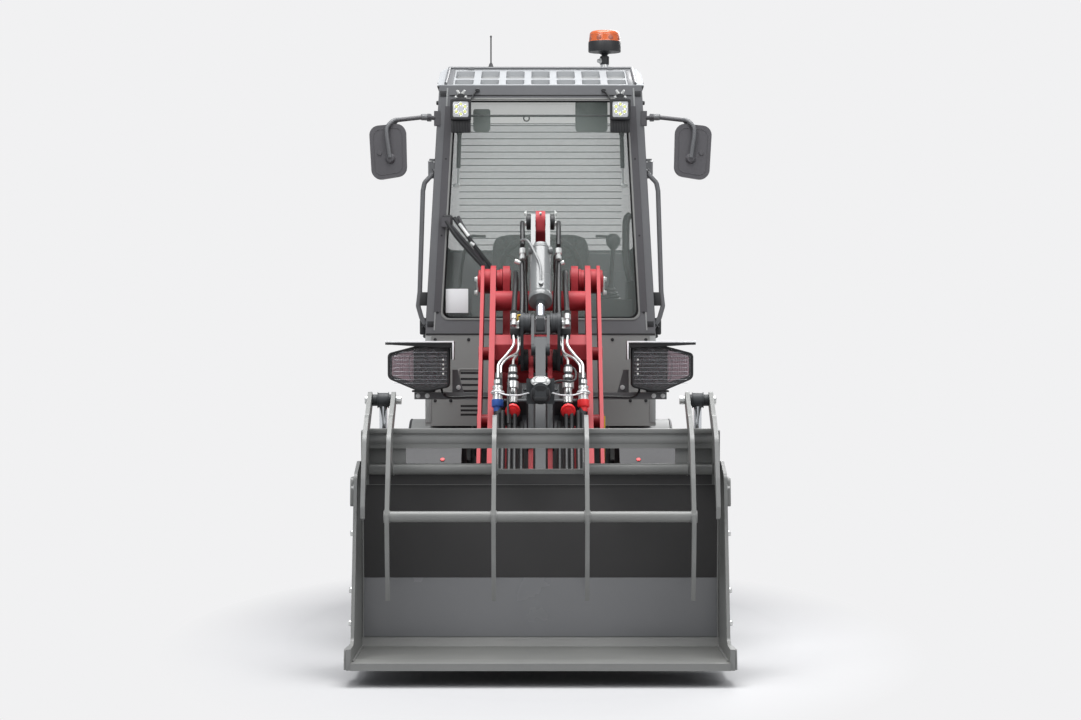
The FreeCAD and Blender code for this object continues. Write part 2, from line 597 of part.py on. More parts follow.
def hydraulic_couplers():
    """Plates between the ribs and the arm's sides with the quick couplers, and the socket on its stays."""
    stay_in = RIB_IN + RIB_THICK + SEAT_GAP
    plate_shape = arm_outline([(800, -10), (816, -10), (816, 126, 6), (800, 126, 6)])
    plate = side_plate(plate_shape, stay_in, ARM_IN - SEAT_GAP)
    inner = rod((105.5, -652, 1080), (105.5, -722, 850), 14)
    outer = rod((161, -690, 1030), (161, -730, 895), 14)
    carrier = fuse(plate, inner, outer)
    near, far = on_arm(880, 0), on_arm(960, 0)
    front = SOCKET[0] + 55
    stay = side_plate([near, far, (front - 8, SOCKET[1] - 45), (front - 8, SOCKET[1] + 50, 10),
                       (front + 22, SOCKET[1] + 50, 10), (front + 22, SOCKET[1] - 30)], stay_in, stay_in + 6)
    face = box(-stay_in - 6, stay_in + 6, front - 8, front, SOCKET[1] - 45, SOCKET[1] + 50)
    socket = rod((0, SOCKET[0], SOCKET[1]), (0, front - 7, SOCKET[1]), SOCKET_R)
    return carrier, mirror_x(carrier), fuse(face, stay, mirror_x(stay), socket)


def lift_barrel():
    """The lift cylinder's barrel, standing between the tower's cheeks."""
    tube = cylinder_barrel(LIFT_BASE, LIFT_EYE, 20, 600, 38, 22, in_side_plane(0))
    foot = drum_x(-38, 38, LIFT_BASE, 34)
    pins = drum_x(-62, 62, LIFT_BASE, 18)
    return fuse(tube, foot, pins)


def lift_rod():
    length = math.dist(LIFT_BASE, LIFT_EYE)
    bar = rod((0,) + toward(LIFT_BASE, LIFT_EYE, 70), (0,) + toward(LIFT_BASE, LIFT_EYE, length - 20), 22)
    ring = drum_x(-26, 26, LIFT_EYE, 30)
    return cut(fuse(bar, ring), drum_x(-30, 30, LIFT_EYE, 17))


def steer_place(p):
    return (p[0], p[1], STEER_Z)


def steer_barrel():
    tube = cylinder_barrel(STEER_BASE, STEER_EYE, 34, 425, 27, 14, steer_place)
    neck = rod(steer_place(STEER_BASE), steer_place(toward(STEER_BASE, STEER_EYE, 40)), 20)
    x, y = STEER_BASE
    foot = rod((x, y, STEER_Z - 24), (x, y, STEER_Z + 24), 27)
    pin = rod((x, y, STEER_Z - 46), (x, y, STEER_Z + 46), 15)
    return fuse(tube, neck, foot, pin)


def steer_rod():
    length = math.dist(STEER_BASE, STEER_EYE)
    inside, outside = toward(STEER_BASE, STEER_EYE, 215), toward(STEER_BASE, STEER_EYE, length - 16)
    bar = rod(steer_place(inside), steer_place(outside), 14)
    x, y = STEER_EYE
    ring = rod((x, y, STEER_Z - 20), (x, y, STEER_Z + 20), 26)
    return cut(fuse(bar, ring), rod((x, y, STEER_Z - 22), (x, y, STEER_Z + 22), 14))


# ---------------------------------------------------------------- bucket, hitch and grapple
def quick_hitch():
    """The coupler frame between the arm's tip and the bucket's back."""
    back = box(-215, 215, BACK_Y + BACK_WALL, BACK_Y + BACK_WALL + 12, 215, 560)
    ear = side_plate([(BACK_Y + BACK_WALL + 10, 225), (ARM_TIP[0] + 20, ARM_TIP[1] - 55, 45),
                      (ARM_TIP[0] + 52, ARM_TIP[1] + 40, 45), (BACK_Y + BACK_WALL + 26, 550, 10),
                      (BACK_Y + BACK_WALL + 10, 550)], ARM_IN - 32, ARM_IN - 6)
    pin = drum_x(ARM_IN - 32, ARM_IN + ARM_INNER_PLATE + ARM_GAP + ARM_OUTER_PLATE + 8, ARM_TIP, TIP_PIN_R)
    low = coupler_pin()
    root = BACK_Y + BACK_WALL + 10
    lug = side_plate([(root, low[1] - 70), (low[0] + 30, low[1] - 30, 29), (low[0] + 30, low[1] + 30, 29),
                      (root, low[1] + 70)], LINK_HALF + 7, LINK_HALF + 23)
    low_pin = drum_x(-LINK_HALF - 8, LINK_HALF + 8, low, 14)
    return fuse(back, ear, mirror_x(ear), pin, mirror_x(pin), lug, mirror_x(lug), low_pin)


def bucket():
    """The bucket: floor, cutting edge, back wall, side plates, top rail and the cylinders' brackets."""
    half_in = BUCKET_HALF - SIDE_PLATE
    back = BACK_Y + BACK_WALL
    side = side_plate([(LIP_Y + 8, LIP_BOTTOM), (LIP_Y + 8, LIP_BOTTOM + 24), (-1755, 142, 20), (-1592, 700, 30),
                       (-1440, BUCKET_TOP + 30, 24), (-1372, BUCKET_TOP + 30, 24), (-1345, 640, 20), (back, CREASE_Z),
                       (back, 120, 30), (back - 40, LIP_BOTTOM + 4, 20)], half_in, BUCKET_HALF)
    floor = side_plate([(LIP_Y, LIP_BOTTOM), (LIP_Y, LIP_BOTTOM + 24), (-1775, LIP_BOTTOM + 24), (-1765, FLOOR_TOP),
                        (BACK_Y - 30, FLOOR_TOP), (BACK_Y, FLOOR_TOP + 30), (BACK_Y, CREASE_Z), (-1362, 655),
                        (-1378, 655), (-1378, BUCKET_TOP), (-1345, BUCKET_TOP), (-1345, 655), (back, CREASE_Z),
                        (back, FLOOR_TOP + 26), (back - 34, LIP_BOTTOM + 8), (-1780, LIP_BOTTOM + 8),
                        (-1790, LIP_BOTTOM)], -half_in - 1, half_in + 1)
    pieces = [floor]
    bracket_in = GRAPPLE_CYL_X - 27
    bracket_out = GRAPPLE_CYL_X + 27
    for side_sign in (1, -1):
        plates = [side, box(half_in, BUCKET_HALF + 4, LIP_Y + 8, -1700, LIP_BOTTOM, LIP_BOTTOM + 71)]
        for x0, x1 in ((bracket_in - 10, bracket_in), (bracket_out, bracket_out + 10)):
            y, z = GRAPPLE_BASE
            ear = side_plate([(back - 1, z - 90), (y + 28, z - 34, 28), (y + 28, z + 30, 28), (back - 1, z + 90)], x0, x1)
            plates.append(cut(ear, drum_x(x0 - 1, x1 + 1, GRAPPLE_BASE, 13 + PIN_FIT)))
        piece = fuse(*plates)
        pieces.append(piece if side_sign > 0 else mirror_x(piece))
    return fuse(*pieces)


def tine_plate(x, with_lever, points):
    """One grapple tine: a plate centred on x with its outline in (y, z)."""
    plate = side_plate(points, x - TINE / 2, x + TINE / 2)
    if with_lever:
        eye = link(GRAPPLE_EYE, 30, (-1395, 880), 34, x - TINE / 2, x + TINE / 2)
        plate = fuse(plate, eye)
    return plate


def grapple():
    """The claw: top beam, hinge tubes and tines."""
    gy, gz = GRAPPLE_PIVOT
    tube = drum_x(157, BUCKET_HALF - SIDE_PLATE - 0.5, GRAPPLE_PIVOT, 20)
    beam = box(-BUCKET_HALF + 30, BUCKET_HALF - 30, gy - 22, gy + 26, 787, 855)
    root = [(gy + 26, gz + 56, 6), (gy + 26, 905, 20), (-1440, 905, 60), (-1570, 830, 60), (-1640, 690, 60)]
    heel = [(-1590, 665, 60), (-1520, 752, 40), (-1432, 702, 20), (gy - 6, gz - 20, 12),
            (gy + 18, gz - 4, 10), (gy + 12, gz + 24, 8)]
    long_points = root + [(-1700, 550, 60), (-1672, 400, 80), (-1630, 264, 3), (-1618, 264, 3), (-1646, 400, 90),
                          (-1664, 545, 40)] + heel
    short_points = root + [(-1672, 590, 20), (-1662, 548, 6), (-1648, 552, 6), (-1645, 600, 20)] + heel
    parts = [beam]
    for sign in (1, -1):
        tines = [tine_plate(INNER_TINE_X, False, long_points), tine_plate(LONG_TINE_X, True, long_points),
                 tine_plate(SHORT_TINE_X, True, short_points), tube]
        rail = drum_x(INNER_TINE_X, LONG_TINE_X + TINE / 2, (-1676, 559), 19)
        group = fuse(*tines, rail)
        parts.append(group if sign > 0 else mirror_x(group))
    middle = drum_x(-INNER_TINE_X, INNER_TINE_X, (-1676, 559), 19)
    return fuse(*parts, middle)


def grapple_barrels():
    barrels = []
    for x in (GRAPPLE_CYL_X, -GRAPPLE_CYL_X):
        tube = cylinder_barrel(GRAPPLE_BASE, GRAPPLE_EYE, 20, 405, 24, 14, in_side_plane(x))
        foot = drum_x(x - 20, x + 20, GRAPPLE_BASE, 26)
        pin = drum_x(x - 40, x + 40, GRAPPLE_BASE, 13)
        barrels.append(fuse(tube, foot, pin))
    return barrels


def grapple_rods():
    rods = []
    length = math.dist(GRAPPLE_BASE, GRAPPLE_EYE)
    for x in (GRAPPLE_CYL_X, -GRAPPLE_CYL_X):
        inside, outside = toward(GRAPPLE_BASE, GRAPPLE_EYE, 285), toward(GRAPPLE_BASE, GRAPPLE_EYE, length - 16)
        bar = rod((x,) + inside, (x,) + outside, 14)
        ring = drum_x(x - 18, x + 18, GRAPPLE_EYE, 24)
        rods.append(cut(fuse(bar, ring), drum_x(x - 20, x + 20, GRAPPLE_EYE, 13)))
    return rods


# ---------------------------------------------------------------- rear chassis
def rear_frame():
    """Two side rails, cross members, articulation ears with their pins, and cab mounts."""
    rails = [box(s * (REAR_HALF - REAR_PLATE / 2) - REAR_PLATE / 2, s * (REAR_HALF - REAR_PLATE / 2) + REAR_PLATE / 2,
                 ARTIC_Y + 130, REAR_END_Y - 110, FRAME_BOTTOM, FRAME_TOP) for s in (-1, 1)]
    inside = REAR_HALF - REAR_PLATE
    front = box(-REAR_HALF, REAR_HALF, ARTIC_Y + 130, ARTIC_Y + 160, LOWER_EAR_Z + EAR_THICK + EAR_GAP, FRAME_TOP)
    back = box(-inside, inside, 1500, 1530, FRAME_BOTTOM, FRAME_TOP)
    ears = []
    for z, pin_top in ((LOWER_EAR_Z + EAR_THICK + EAR_GAP, LOWER_EAR_Z - 10),
                       (UPPER_EAR_Z - EAR_GAP - EAR_THICK, UPPER_EAR_Z + EAR_THICK + 10)):
        arm = box(-EAR_R, EAR_R, ARTIC_Y, ARTIC_Y + 131, z, z + EAR_THICK)
        round_end = rod((0, ARTIC_Y, z), (0, ARTIC_Y, z + EAR_THICK), EAR_R)
        pin = rod((0, ARTIC_Y, z), (0, ARTIC_Y, pin_top), PIVOT_PIN_R)
        ears.append(fuse(arm, round_end, pin))
    slot = box(REAR_HALF - 55, REAR_HALF + 1, ARTIC_Y + 129, ARTIC_Y + 290, STEER_Z - 36, STEER_Z + 36)
    mounts = [rod((x, y, FRAME_TOP), (x, y, CAB_FLOOR_Z), 26) for x in (-138, 138) for y in (380, 1180)]
    bridges = [box(s * 152 - 14, s * 152 + 14, y - 30, y + 30, FRAME_TOP - 1, FRAME_TOP + 20)
               for s in (-1, 1) for y in (380, 1180)]
    x, y = STEER_BASE
    steer_ears = []
    for z in (STEER_Z - 42, STEER_Z + 26):
        plate = fuse(box(REAR_HALF - 1, x, y - 28, y + 28, z, z + 16), rod((x, y, z), (x, y, z + 16), 28))
        steer_ears.append(cut(plate, rod((x, y, z - 1), (x, y, z + 17), 15 + PIN_FIT)))
    return cut(fuse(*rails, front, back, *ears, *mounts, *bridges, *steer_ears), slot)


def engine_block():
    return box(-230, 230, 1340, WEIGHT_FRONT - 10, FRAME_TOP, HOOD_TOP - 180)


def counterweight():
    """The cast rear weight, with a tow jaw cut into its back."""
    body = top_plate([(-400, WEIGHT_FRONT, 40), (400, WEIGHT_FRONT, 40), (HOOD_HALF, 1800, 60), (300, REAR_END_Y, 80),
                      (-300, REAR_END_Y, 80), (-HOOD_HALF, 1800, 60)], WEIGHT_BOTTOM, HOOD_BOTTOM - SEAT_GAP)
    rails = box(-REAR_HALF - 1, REAR_HALF + 1, 1600, REAR_END_Y - 109, FRAME_BOTTOM - 1, FRAME_TOP + 1)
    jaw = box(-70, 70, REAR_END_Y - 110, REAR_END_Y + 1, *TOW_JAW)
    bore = rod((0, TOW_PIN_Y, WEIGHT_BOTTOM - 1), (0, TOW_PIN_Y, HOOD_BOTTOM), TOW_PIN_R)
    notch = box(-45, 45, HOOD_END_Y, REAR_END_Y + 1, TOW_JAW[1] + TOW_WALL, HOOD_BOTTOM)
    x0, x1, y0, z0, z1 = REAR_LAMP
    pocket = box(x0 - SEAT_GAP, HOOD_HALF + 1, y0 - SEAT_GAP, REAR_END_Y + 1, z0 - SEAT_GAP, z1 + SEAT_GAP)
    return cut(body, rails, jaw, bore, notch, pocket, mirror_x(pocket))


def hood():
    """The engine hood: a thin shell, open below and towards the cab, with louvres cut in its back."""
    front = CAB_REAR + HOOD_GAP
    shell = side_plate([(front, HOOD_BOTTOM), (HOOD_END_Y, HOOD_BOTTOM, 20), (HOOD_END_Y - 20, HOOD_TOP - 120, 120),
                        (HOOD_END_Y - 140, HOOD_TOP, 120), (front, HOOD_TOP)], -HOOD_HALF, HOOD_HALF)
    hollow = side_plate([(front - 1, HOOD_BOTTOM - 1), (HOOD_END_Y - HOOD_WALL, HOOD_BOTTOM - 1),
                         (HOOD_END_Y - 20 - HOOD_WALL, HOOD_TOP - 124, 110), (HOOD_END_Y - 146, HOOD_TOP - HOOD_WALL, 110),
                         (front - 1, HOOD_TOP - HOOD_WALL)], -HOOD_HALF + HOOD_WALL, HOOD_HALF - HOOD_WALL)
    louvres = [box(-300, 300, HOOD_END_Y - 90, HOOD_END_Y + 1, HOOD_BOTTOM + 50 + 44 * i, HOOD_BOTTOM + 72 + 44 * i)
               for i in range(6)]
    shell = cut(shell, hollow, *louvres)
    hinges = []
    for x in (-300, 300):
        knuckle = rod((x - 40, HOOD_HINGE[0], HOOD_HINGE[1]), (x + 40, HOOD_HINGE[0], HOOD_HINGE[1]), HOOD_HINGE_R)
        leaf = box(x - 36, x + 36, HOOD_HINGE[0], front + 30, HOOD_HINGE[1] - 3, HOOD_HINGE[1] + 3)
        hinges += [knuckle, leaf]
    return fuse(shell, *hinges)


def cab_section(z, inset):
    """Half the cab's width at a height, less an inset."""
    if z <= CAB_SEAM_Z:
        return CAB_LOW_HALF - inset
    lean = (CAB_LOW_HALF - CAB_ROOF_HALF) / (CAB_EAVE_Z - CAB_SEAM_Z)
    return CAB_LOW_HALF - lean * (z - CAB_SEAM_Z) - inset


def cab_prism(z0, z1, y0, y1, inset):
    """A block with the cab's front-view outline between two heights and two stations."""
    right = [(cab_section(z, inset), z) for z in (z0, CAB_SEAM_Z, z1) if z0 <= z <= z1]
    if len(right) > 2 and z0 == CAB_SEAM_Z:
        right = right[1:]
    left = [(-x, z) for x, z in reversed(right)]
    return front_plate(right + left, y0, y1)


def cab_block():
    """The cab's whole outline as one solid, for trimming what sits on it."""
    return fuse(cab_prism(CAB_FLOOR_Z, CAB_SEAM_Z, CAB_FRONT, CAB_REAR, 0),
                cab_prism(CAB_SEAM_Z, CAB_EAVE_Z, CAB_FRONT, CAB_REAR, 0))


def door_cut(inset, grow):
    """The block that a door fills, or with grow the opening it is cut from."""
    block = cab_prism(DOOR_BOTTOM - grow, DOOR_TOP + grow, DOOR_FRONT - grow, DOOR_REAR + grow, -30)
    return block.cut(cab_prism(DOOR_BOTTOM - 50, DOOR_TOP + 50, 0, 1500, inset))


def cab_base():
    """The cab's lower body: floor, lower front and rear walls, sills, and the rear wheel arches."""
    outer = cab_prism(CAB_FLOOR_Z, CAB_SEAM_Z, CAB_FRONT, CAB_REAR, 0)
    inner = cab_prism(CAB_FLOOR_Z + FLOOR_THICK, CAB_SEAM_Z + 1, CAB_FRONT + 30, CAB_REAR - 30, CAB_WALL)
    vents = [box(-334, -255, CAB_FRONT - 1, CAB_FRONT + 31, CAB_FLOOR_Z + rise, CAB_FLOOR_Z + rise + 9)
             for rise in (42, 60, 78, 141, 166, 191, 216)]
    shell = cut(outer, inner, door_cut(CAB_WALL + 1, DOOR_GAP), *vents)
    arches = [fender(side, REAR_AXLE_Y, 18, 140, ARCH_IN, ARCH_OUT + 6, 48, 12) for side in (1, -1)]
    return fuse(shell, *arches, *door_hinge_lugs(DOOR_HINGE_Z[0]))


def cab_frame():
    """The cab's pillars and rails above the seam, hollow, with every window and door cut."""
    outer = cab_prism(CAB_SEAM_Z, CAB_EAVE_Z, CAB_FRONT, CAB_REAR, 0)
    inner = cab_prism(CAB_SEAM_Z - 1, CAB_EAVE_Z - 40, CAB_FRONT + 46, CAB_REAR - 40, CAB_WALL)
    top = cab_prism(CAB_EAVE_Z - 60, CAB_EAVE_Z + 1, CAB_FRONT + 90, CAB_REAR - 90, 80)
    front_window = front_plate(window_outline(CAB_SEAM_Z + 57, CAB_EAVE_Z - 52, 60), CAB_FRONT - 5, CAB_FRONT + 60)
    rear_window = front_plate(window_outline(REAR_SILL_Z, CAB_EAVE_Z - 66, REAR_MARGIN), CAB_REAR - 60, CAB_REAR + 5)
    shell = cut(outer, inner, top, front_window, rear_window, door_cut(CAB_WALL + 1, DOOR_GAP))
    return fuse(shell, *door_hinge_lugs(DOOR_HINGE_Z[1]))


def window_outline(z0, z1, margin):
    """A rounded window in (x, z), a margin inside the cab's sides."""
    low, high = cab_section(z0, margin), cab_section(z1, margin)
    return [(-low, z0, 30), (low, z0, 30), (high, z1, 30), (-high, z1, 30)]


def cab_glass():
    """Windscreen, rear window and roof window, each seated just inside its opening's frame."""
    screen = front_plate(window_outline(CAB_SEAM_Z + 30, CAB_EAVE_Z - 42, 50), CAB_FRONT + 46, CAB_FRONT + 46 + GLASS)
    outline = window_outline(REAR_SILL_Z + SEAT_GAP, CAB_EAVE_Z - 66 - SEAT_GAP, REAR_MARGIN + SEAT_GAP)
    rear = front_plate(outline, CAB_REAR - 40 - GLASS, CAB_REAR - 40)
    ends = [(y, under_roof(y) - SEAT_GAP) for y in (ROOF_HOLLOW_Y + 32, ROOF_CREST_Y - 4)]
    top = side_plate(ends + [(y, z - GLASS) for y, z in reversed(ends)], -390, 390)
    return screen, rear, top


def under_roof(y):
    """The height of the sloping roof front's underside at a station."""
    return CAB_EAVE_Z + (ROOF_TOP - ROOF_WALL - CAB_EAVE_Z) * (y - ROOF_HOLLOW_Y) / (ROOF_CREST_Y - ROOF_HOLLOW_Y)


def cab_roof():
    """The pale roof shell with its front window opening and guard bars."""
    half = CAB_ROOF_HALF + 8
    rear = CAB_REAR + 15
    shell = side_plate([(CAB_FRONT + 30, CAB_EAVE_Z), (rear, CAB_EAVE_Z), (rear, ROOF_TOP - 50, 30), (rear - 75, ROOF_TOP, 60),
                        (ROOF_CREST_Y, ROOF_TOP, 60), (CAB_FRONT + 30, CAB_EAVE_Z + 6)], -half, half)
    hollow = side_plate([(ROOF_HOLLOW_Y, CAB_EAVE_Z), (ROOF_HOLLOW_Y, CAB_EAVE_Z - 1), (rear - 40, CAB_EAVE_Z - 1), (rear - 40, ROOF_TOP - 60),
                         (rear - 75, ROOF_TOP - ROOF_WALL), (ROOF_CREST_Y, ROOF_TOP - ROOF_WALL)],
                        ROOF_WALL - half, half - ROOF_WALL)
    rounded = front_plate([(-half, CAB_EAVE_Z - 1), (half, CAB_EAVE_Z - 1), (half, ROOF_TOP, ROOF_CORNER),
                           (-half, ROOF_TOP, ROOF_CORNER)], CAB_FRONT, rear + 1)
    slots = []
    for y0, y1 in ROOF_SLOT_ROWS:
        for col in range(ROOF_SLOTS):
            x = (col - (ROOF_SLOTS - 1) / 2) * ROOF_SLOT_PITCH
            slots.append(top_plate([(x - 39, y0, 14), (x + 39, y0, 14), (x + 39, y1, 14), (x - 39, y1, 14)],
                                   CAB_EAVE_Z - 1, ROOF_TOP + 10))
    return cut(shell.common(rounded), hollow, *slots)


def door(side):
    """A door: the lower panel and a framed window opening, filling its gap in the cab's side."""
    block = cab_prism(DOOR_BOTTOM, DOOR_TOP, DOOR_FRONT, DOOR_REAR, 0)
    block = block.cut(cab_prism(DOOR_BOTTOM - 1, DOOR_TOP + 1, 0, 1500, CAB_WALL - 6))
    solids = sorted(block.Solids, key=lambda s: s.CenterOfMass.x)
    panel = solids[-1] if side > 0 else solids[0]
    sill, shin = CAB_SEAM_Z + 40, DOOR_BOTTOM + 75
    window = side_plate([(DOOR_FRONT + 60, sill, 40), (DOOR_REAR - 60, sill, 40), (DOOR_REAR - 60, DOOR_TOP - 60, 40),
                         (DOOR_FRONT + 60, DOOR_TOP - 60, 40)], -600, 600)
    low = side_plate([(DOOR_FRONT + 60, shin, 40), (DOOR_REAR - 240, shin, 40), (DOOR_REAR - 240, CAB_SEAM_Z - 25, 40),
                      (DOOR_FRONT + 60, CAB_SEAM_Z - 25, 40)], -600, 600)
    panel = cut(panel, window, low)
    hx, hy = DOOR_HINGE
    hinges = []
    for z in DOOR_HINGE_Z:
        skin = cab_section(z + 30, 0)
        knuckle = rod((hx, hy, z - 30), (hx, hy, z + 30), 11)
        strap = box(cab_section(z - 26, 0) + 2, hx, DOOR_REAR - 30, hy, z - 26, z + 26)
        root = box(skin - 6, hx - 6, DOOR_REAR - 30, DOOR_REAR - 6, z - 26, z + 26)
        hinge = cut(fuse(knuckle, strap, root), rod((hx, hy, z - 31), (hx, hy, z + 31), DOOR_PIN_R + PIN_FIT))
        hinges.append(hinge if side > 0 else mirror_x(hinge))
    return fuse(panel, *hinges)


def door_hinge_lugs(z):
    """The cab's halves of the door hinges at a height: two lugs a side, with the pin between them."""
    hx, hy = DOOR_HINGE
    lugs = [box(cab_section(z, 0) - 8, hx, hy - 6, hy + 10, z0, z0 + 12) for z0 in (z - 44, z + 32)]
    pin = rod((hx, hy, z - 44), (hx, hy, z + 44), DOOR_PIN_R)
    return both(fuse(*lugs, pin))


def door_glass(side):
    """The door's two panes, seated on the inside of its frame."""
    sill, shin = CAB_SEAM_Z + 10, DOOR_BOTTOM + 50
    panes = cab_prism(sill, DOOR_TOP - 40, DOOR_FRONT + 40, DOOR_REAR - 40, CAB_WALL - 6)
    panes = panes.cut(cab_prism(sill - 1, DOOR_TOP - 39, 0, 1500, CAB_WALL - 1))
    low = cab_prism(shin, CAB_SEAM_Z - 5, DOOR_FRONT + 40, DOOR_REAR - 220, CAB_WALL - 6)
    low = low.cut(cab_prism(shin - 1, CAB_SEAM_Z - 4, 0, 1500, CAB_WALL - 1))
    picked = []
    for solid in panes.Solids + low.Solids:
        if solid.CenterOfMass.x * side > 0:
            picked.append(solid)
    return picked


# ---------------------------------------------------------------- cab inside and outside
def seat_base():
    column = box(-150, 150, 760, 1010, CAB_FLOOR_Z + FLOOR_THICK, SEAT_Z - 22)
    pan = box(-225, 225, 660, 1090, SEAT_Z - 22, SEAT_Z)
    back = side_plate([(1060, SEAT_Z - 12), (1084, SEAT_Z - 12), (1166, SEAT_Z + 488, 10),
                       (1142, SEAT_Z + 492, 10)], -190, 190)
    return fuse(column, pan, back)


def seat_cushions():
    """The seat's cushion and its back, each seated on the shell behind it."""
    cushion = box(-235, 235, 640, 1061, SEAT_Z + SEAT_GAP, SEAT_Z + 103)
    back = side_plate([(1040, SEAT_Z + 104), (1078.5, SEAT_Z + 104), (1150, SEAT_Z + 545, 30),
                       (1070, SEAT_Z + 576, 30)], -235, 235)
    return cushion, back


def controls():
    """Steering column, dash and the side console with its joystick."""
    floor = CAB_FLOOR_Z + FLOOR_THICK
    foot_y, foot_z = COLUMN_FOOT
    dash = side_plate([(foot_y - 40, floor), (foot_y + 40, floor), (foot_y + 40, foot_z + 10, 20),
                       (foot_y - 40, foot_z - 20, 20)], -110, 110)
    column = rod((0,) + COLUMN_FOOT, (0,) + COLUMN_TOP, 28)
    top = floor + 500
    console = box(250, 400, 620, 1060, floor, top)
    knob = Part.makeSphere(30, V(314, 648, top + 252))
    stick = fuse(rod((300, 700, top - 4), (314, 649, top + 230), 10), knob)
    return fuse(dash, column), fuse(console, stick)


def steering_wheel():
    """The wheel's rim, hub and three spokes, square to the steering column."""
    foot, centre = V(0, *COLUMN_FOOT), V(0, *COLUMN_TOP)
    tilt = (centre - foot).normalize()
    ring = Part.makeTorus(168, 13, centre + tilt * 20, tilt)
    hub = Part.makeCylinder(42, 28, centre + tilt * SEAT_GAP, tilt)
    spokes = []
    across = V(1, 0, 0)
    ahead = tilt.cross(across)
    for angle in (90, 210, 330):
        way = across * math.cos(math.radians(angle)) + ahead * math.sin(math.radians(angle))
        start = centre + tilt * 16
        spokes.append(Part.makeCylinder(10, 166, start, way))
    return fuse(ring, hub, *spokes)


def mirrors():
    """Two mirror heads on bent arms from the front pillars."""
    z = CAB_EAVE_Z - 136
    pillar = cab_section(z, 0)
    arm = pipe([(pillar - 6, CAB_FRONT + 20, z), (pillar + 50, CAB_FRONT - 30, z + 2), (600, 230, z - 12), (634, 226, z - 70)],
               9, 20)
    bracket = box(pillar - 12, pillar + 14, CAB_FRONT - 4, CAB_FRONT + 40, z - 30, z + 30)
    head = front_plate([(555, z - 242, 40), (700, z - 266, 40), (713, z - 40, 40), (560, z - 25, 40)], 205, 243)
    return both(cut(fuse(arm, bracket, head), cab_block()))


def handrails():
    """Bent grab rails on the front pillars."""
    y = CAB_FRONT + 22
    z = CAB_SEAM_Z
    rail = pipe([(437, y, z + 683), (485, y, z + 632), (492, y, z + 598), (505, y, z + 176), (512, y, z + 116),
                 (498, y, z + 67), (461, y, z + 7)], 10, 26)
    return both(cut(rail, cab_block()))


def work_lamps():
    """Two square work lamps on brackets in front of the windscreen's top."""
    x = 331.0
    z = CAB_EAVE_Z - 64
    body = box(x - 42, x + 42, 190, 236, z - 84, z)
    stalk = box(x - 12, x + 12, 214, CAB_FRONT, z + 2, z + 24)
    post = box(x - 12, x + 12, 206, 226, z - 2, z + 24)
    return both(fuse(body, stalk, post))


def wiper():
    """The wiper's pivot block and its two parallel arms, with the blade."""
    x = -394.0
    y = CAB_FRONT - 16
    z = CAB_SEAM_Z + 465
    pivot = box(x - 18, x + 18, y - 14, CAB_FRONT, z - 20, z + 20)
    arms = [rod((x + dx, y - 4, z), (-215 + dx * 0.4, y - 4, z - 205), 6) for dx in (-8, 12)]
    blade = rod((-345, y - 2, z + 25), (-205, y - 2, z - 235), 7)
    return fuse(pivot, *arms, blade)


def roof_beacon():
    """The beacon's stem, black base and dome."""
    x, y = 282.5, 900.0
    foot = box(x - 40, x + 40, y - 30, y + 30, ROOF_TOP, ROOF_TOP + 6)
    z = ROOF_TOP + 91
    stem = rod((x, y, ROOF_TOP + 5), (x, y, z + 2), 11)
    base = rod((x, y, z), (x, y, z + 43), 70)
    dome = Part.makeCone(69, 64, 48, V(x, y, z + 43))
    rim_edges = [e for e in dome.Edges if e.CenterOfMass.z > z + 90 and e.Curve.TypeId == "Part::GeomCircle"]
    dome = dome.makeFillet(15, rim_edges)
    return fuse(foot, stem, base, dome)


def roof_antenna():
    x, y = -217.0, 820.0
    foot = rod((x, y, ROOF_TOP), (x, y, ROOF_TOP + 18), 12)
    whip = rod((x, y, ROOF_TOP + 17), (x, y, ROOF_TOP + 150), 3)
    return fuse(foot, whip)


def side_steps():
    """A step box on each side between the wheels, hung from the frame."""
    z = FRAME_BOTTOM - 10
    step = cut(box(345, 550, 330, 480, z, z + 200), box(344, 551, 329, 450, z + 60, z + 150))
    hanger = box(REAR_HALF, 346, 350, 400, z + 152, z + 172)
    return both(fuse(step, hanger))


def rear_lamps():
    """A lamp block in the pocket of the rear weight."""
    x0, x1, y0, z0, z1 = REAR_LAMP
    return box(x0, x1, y0, y0 + 40, z0, z1)


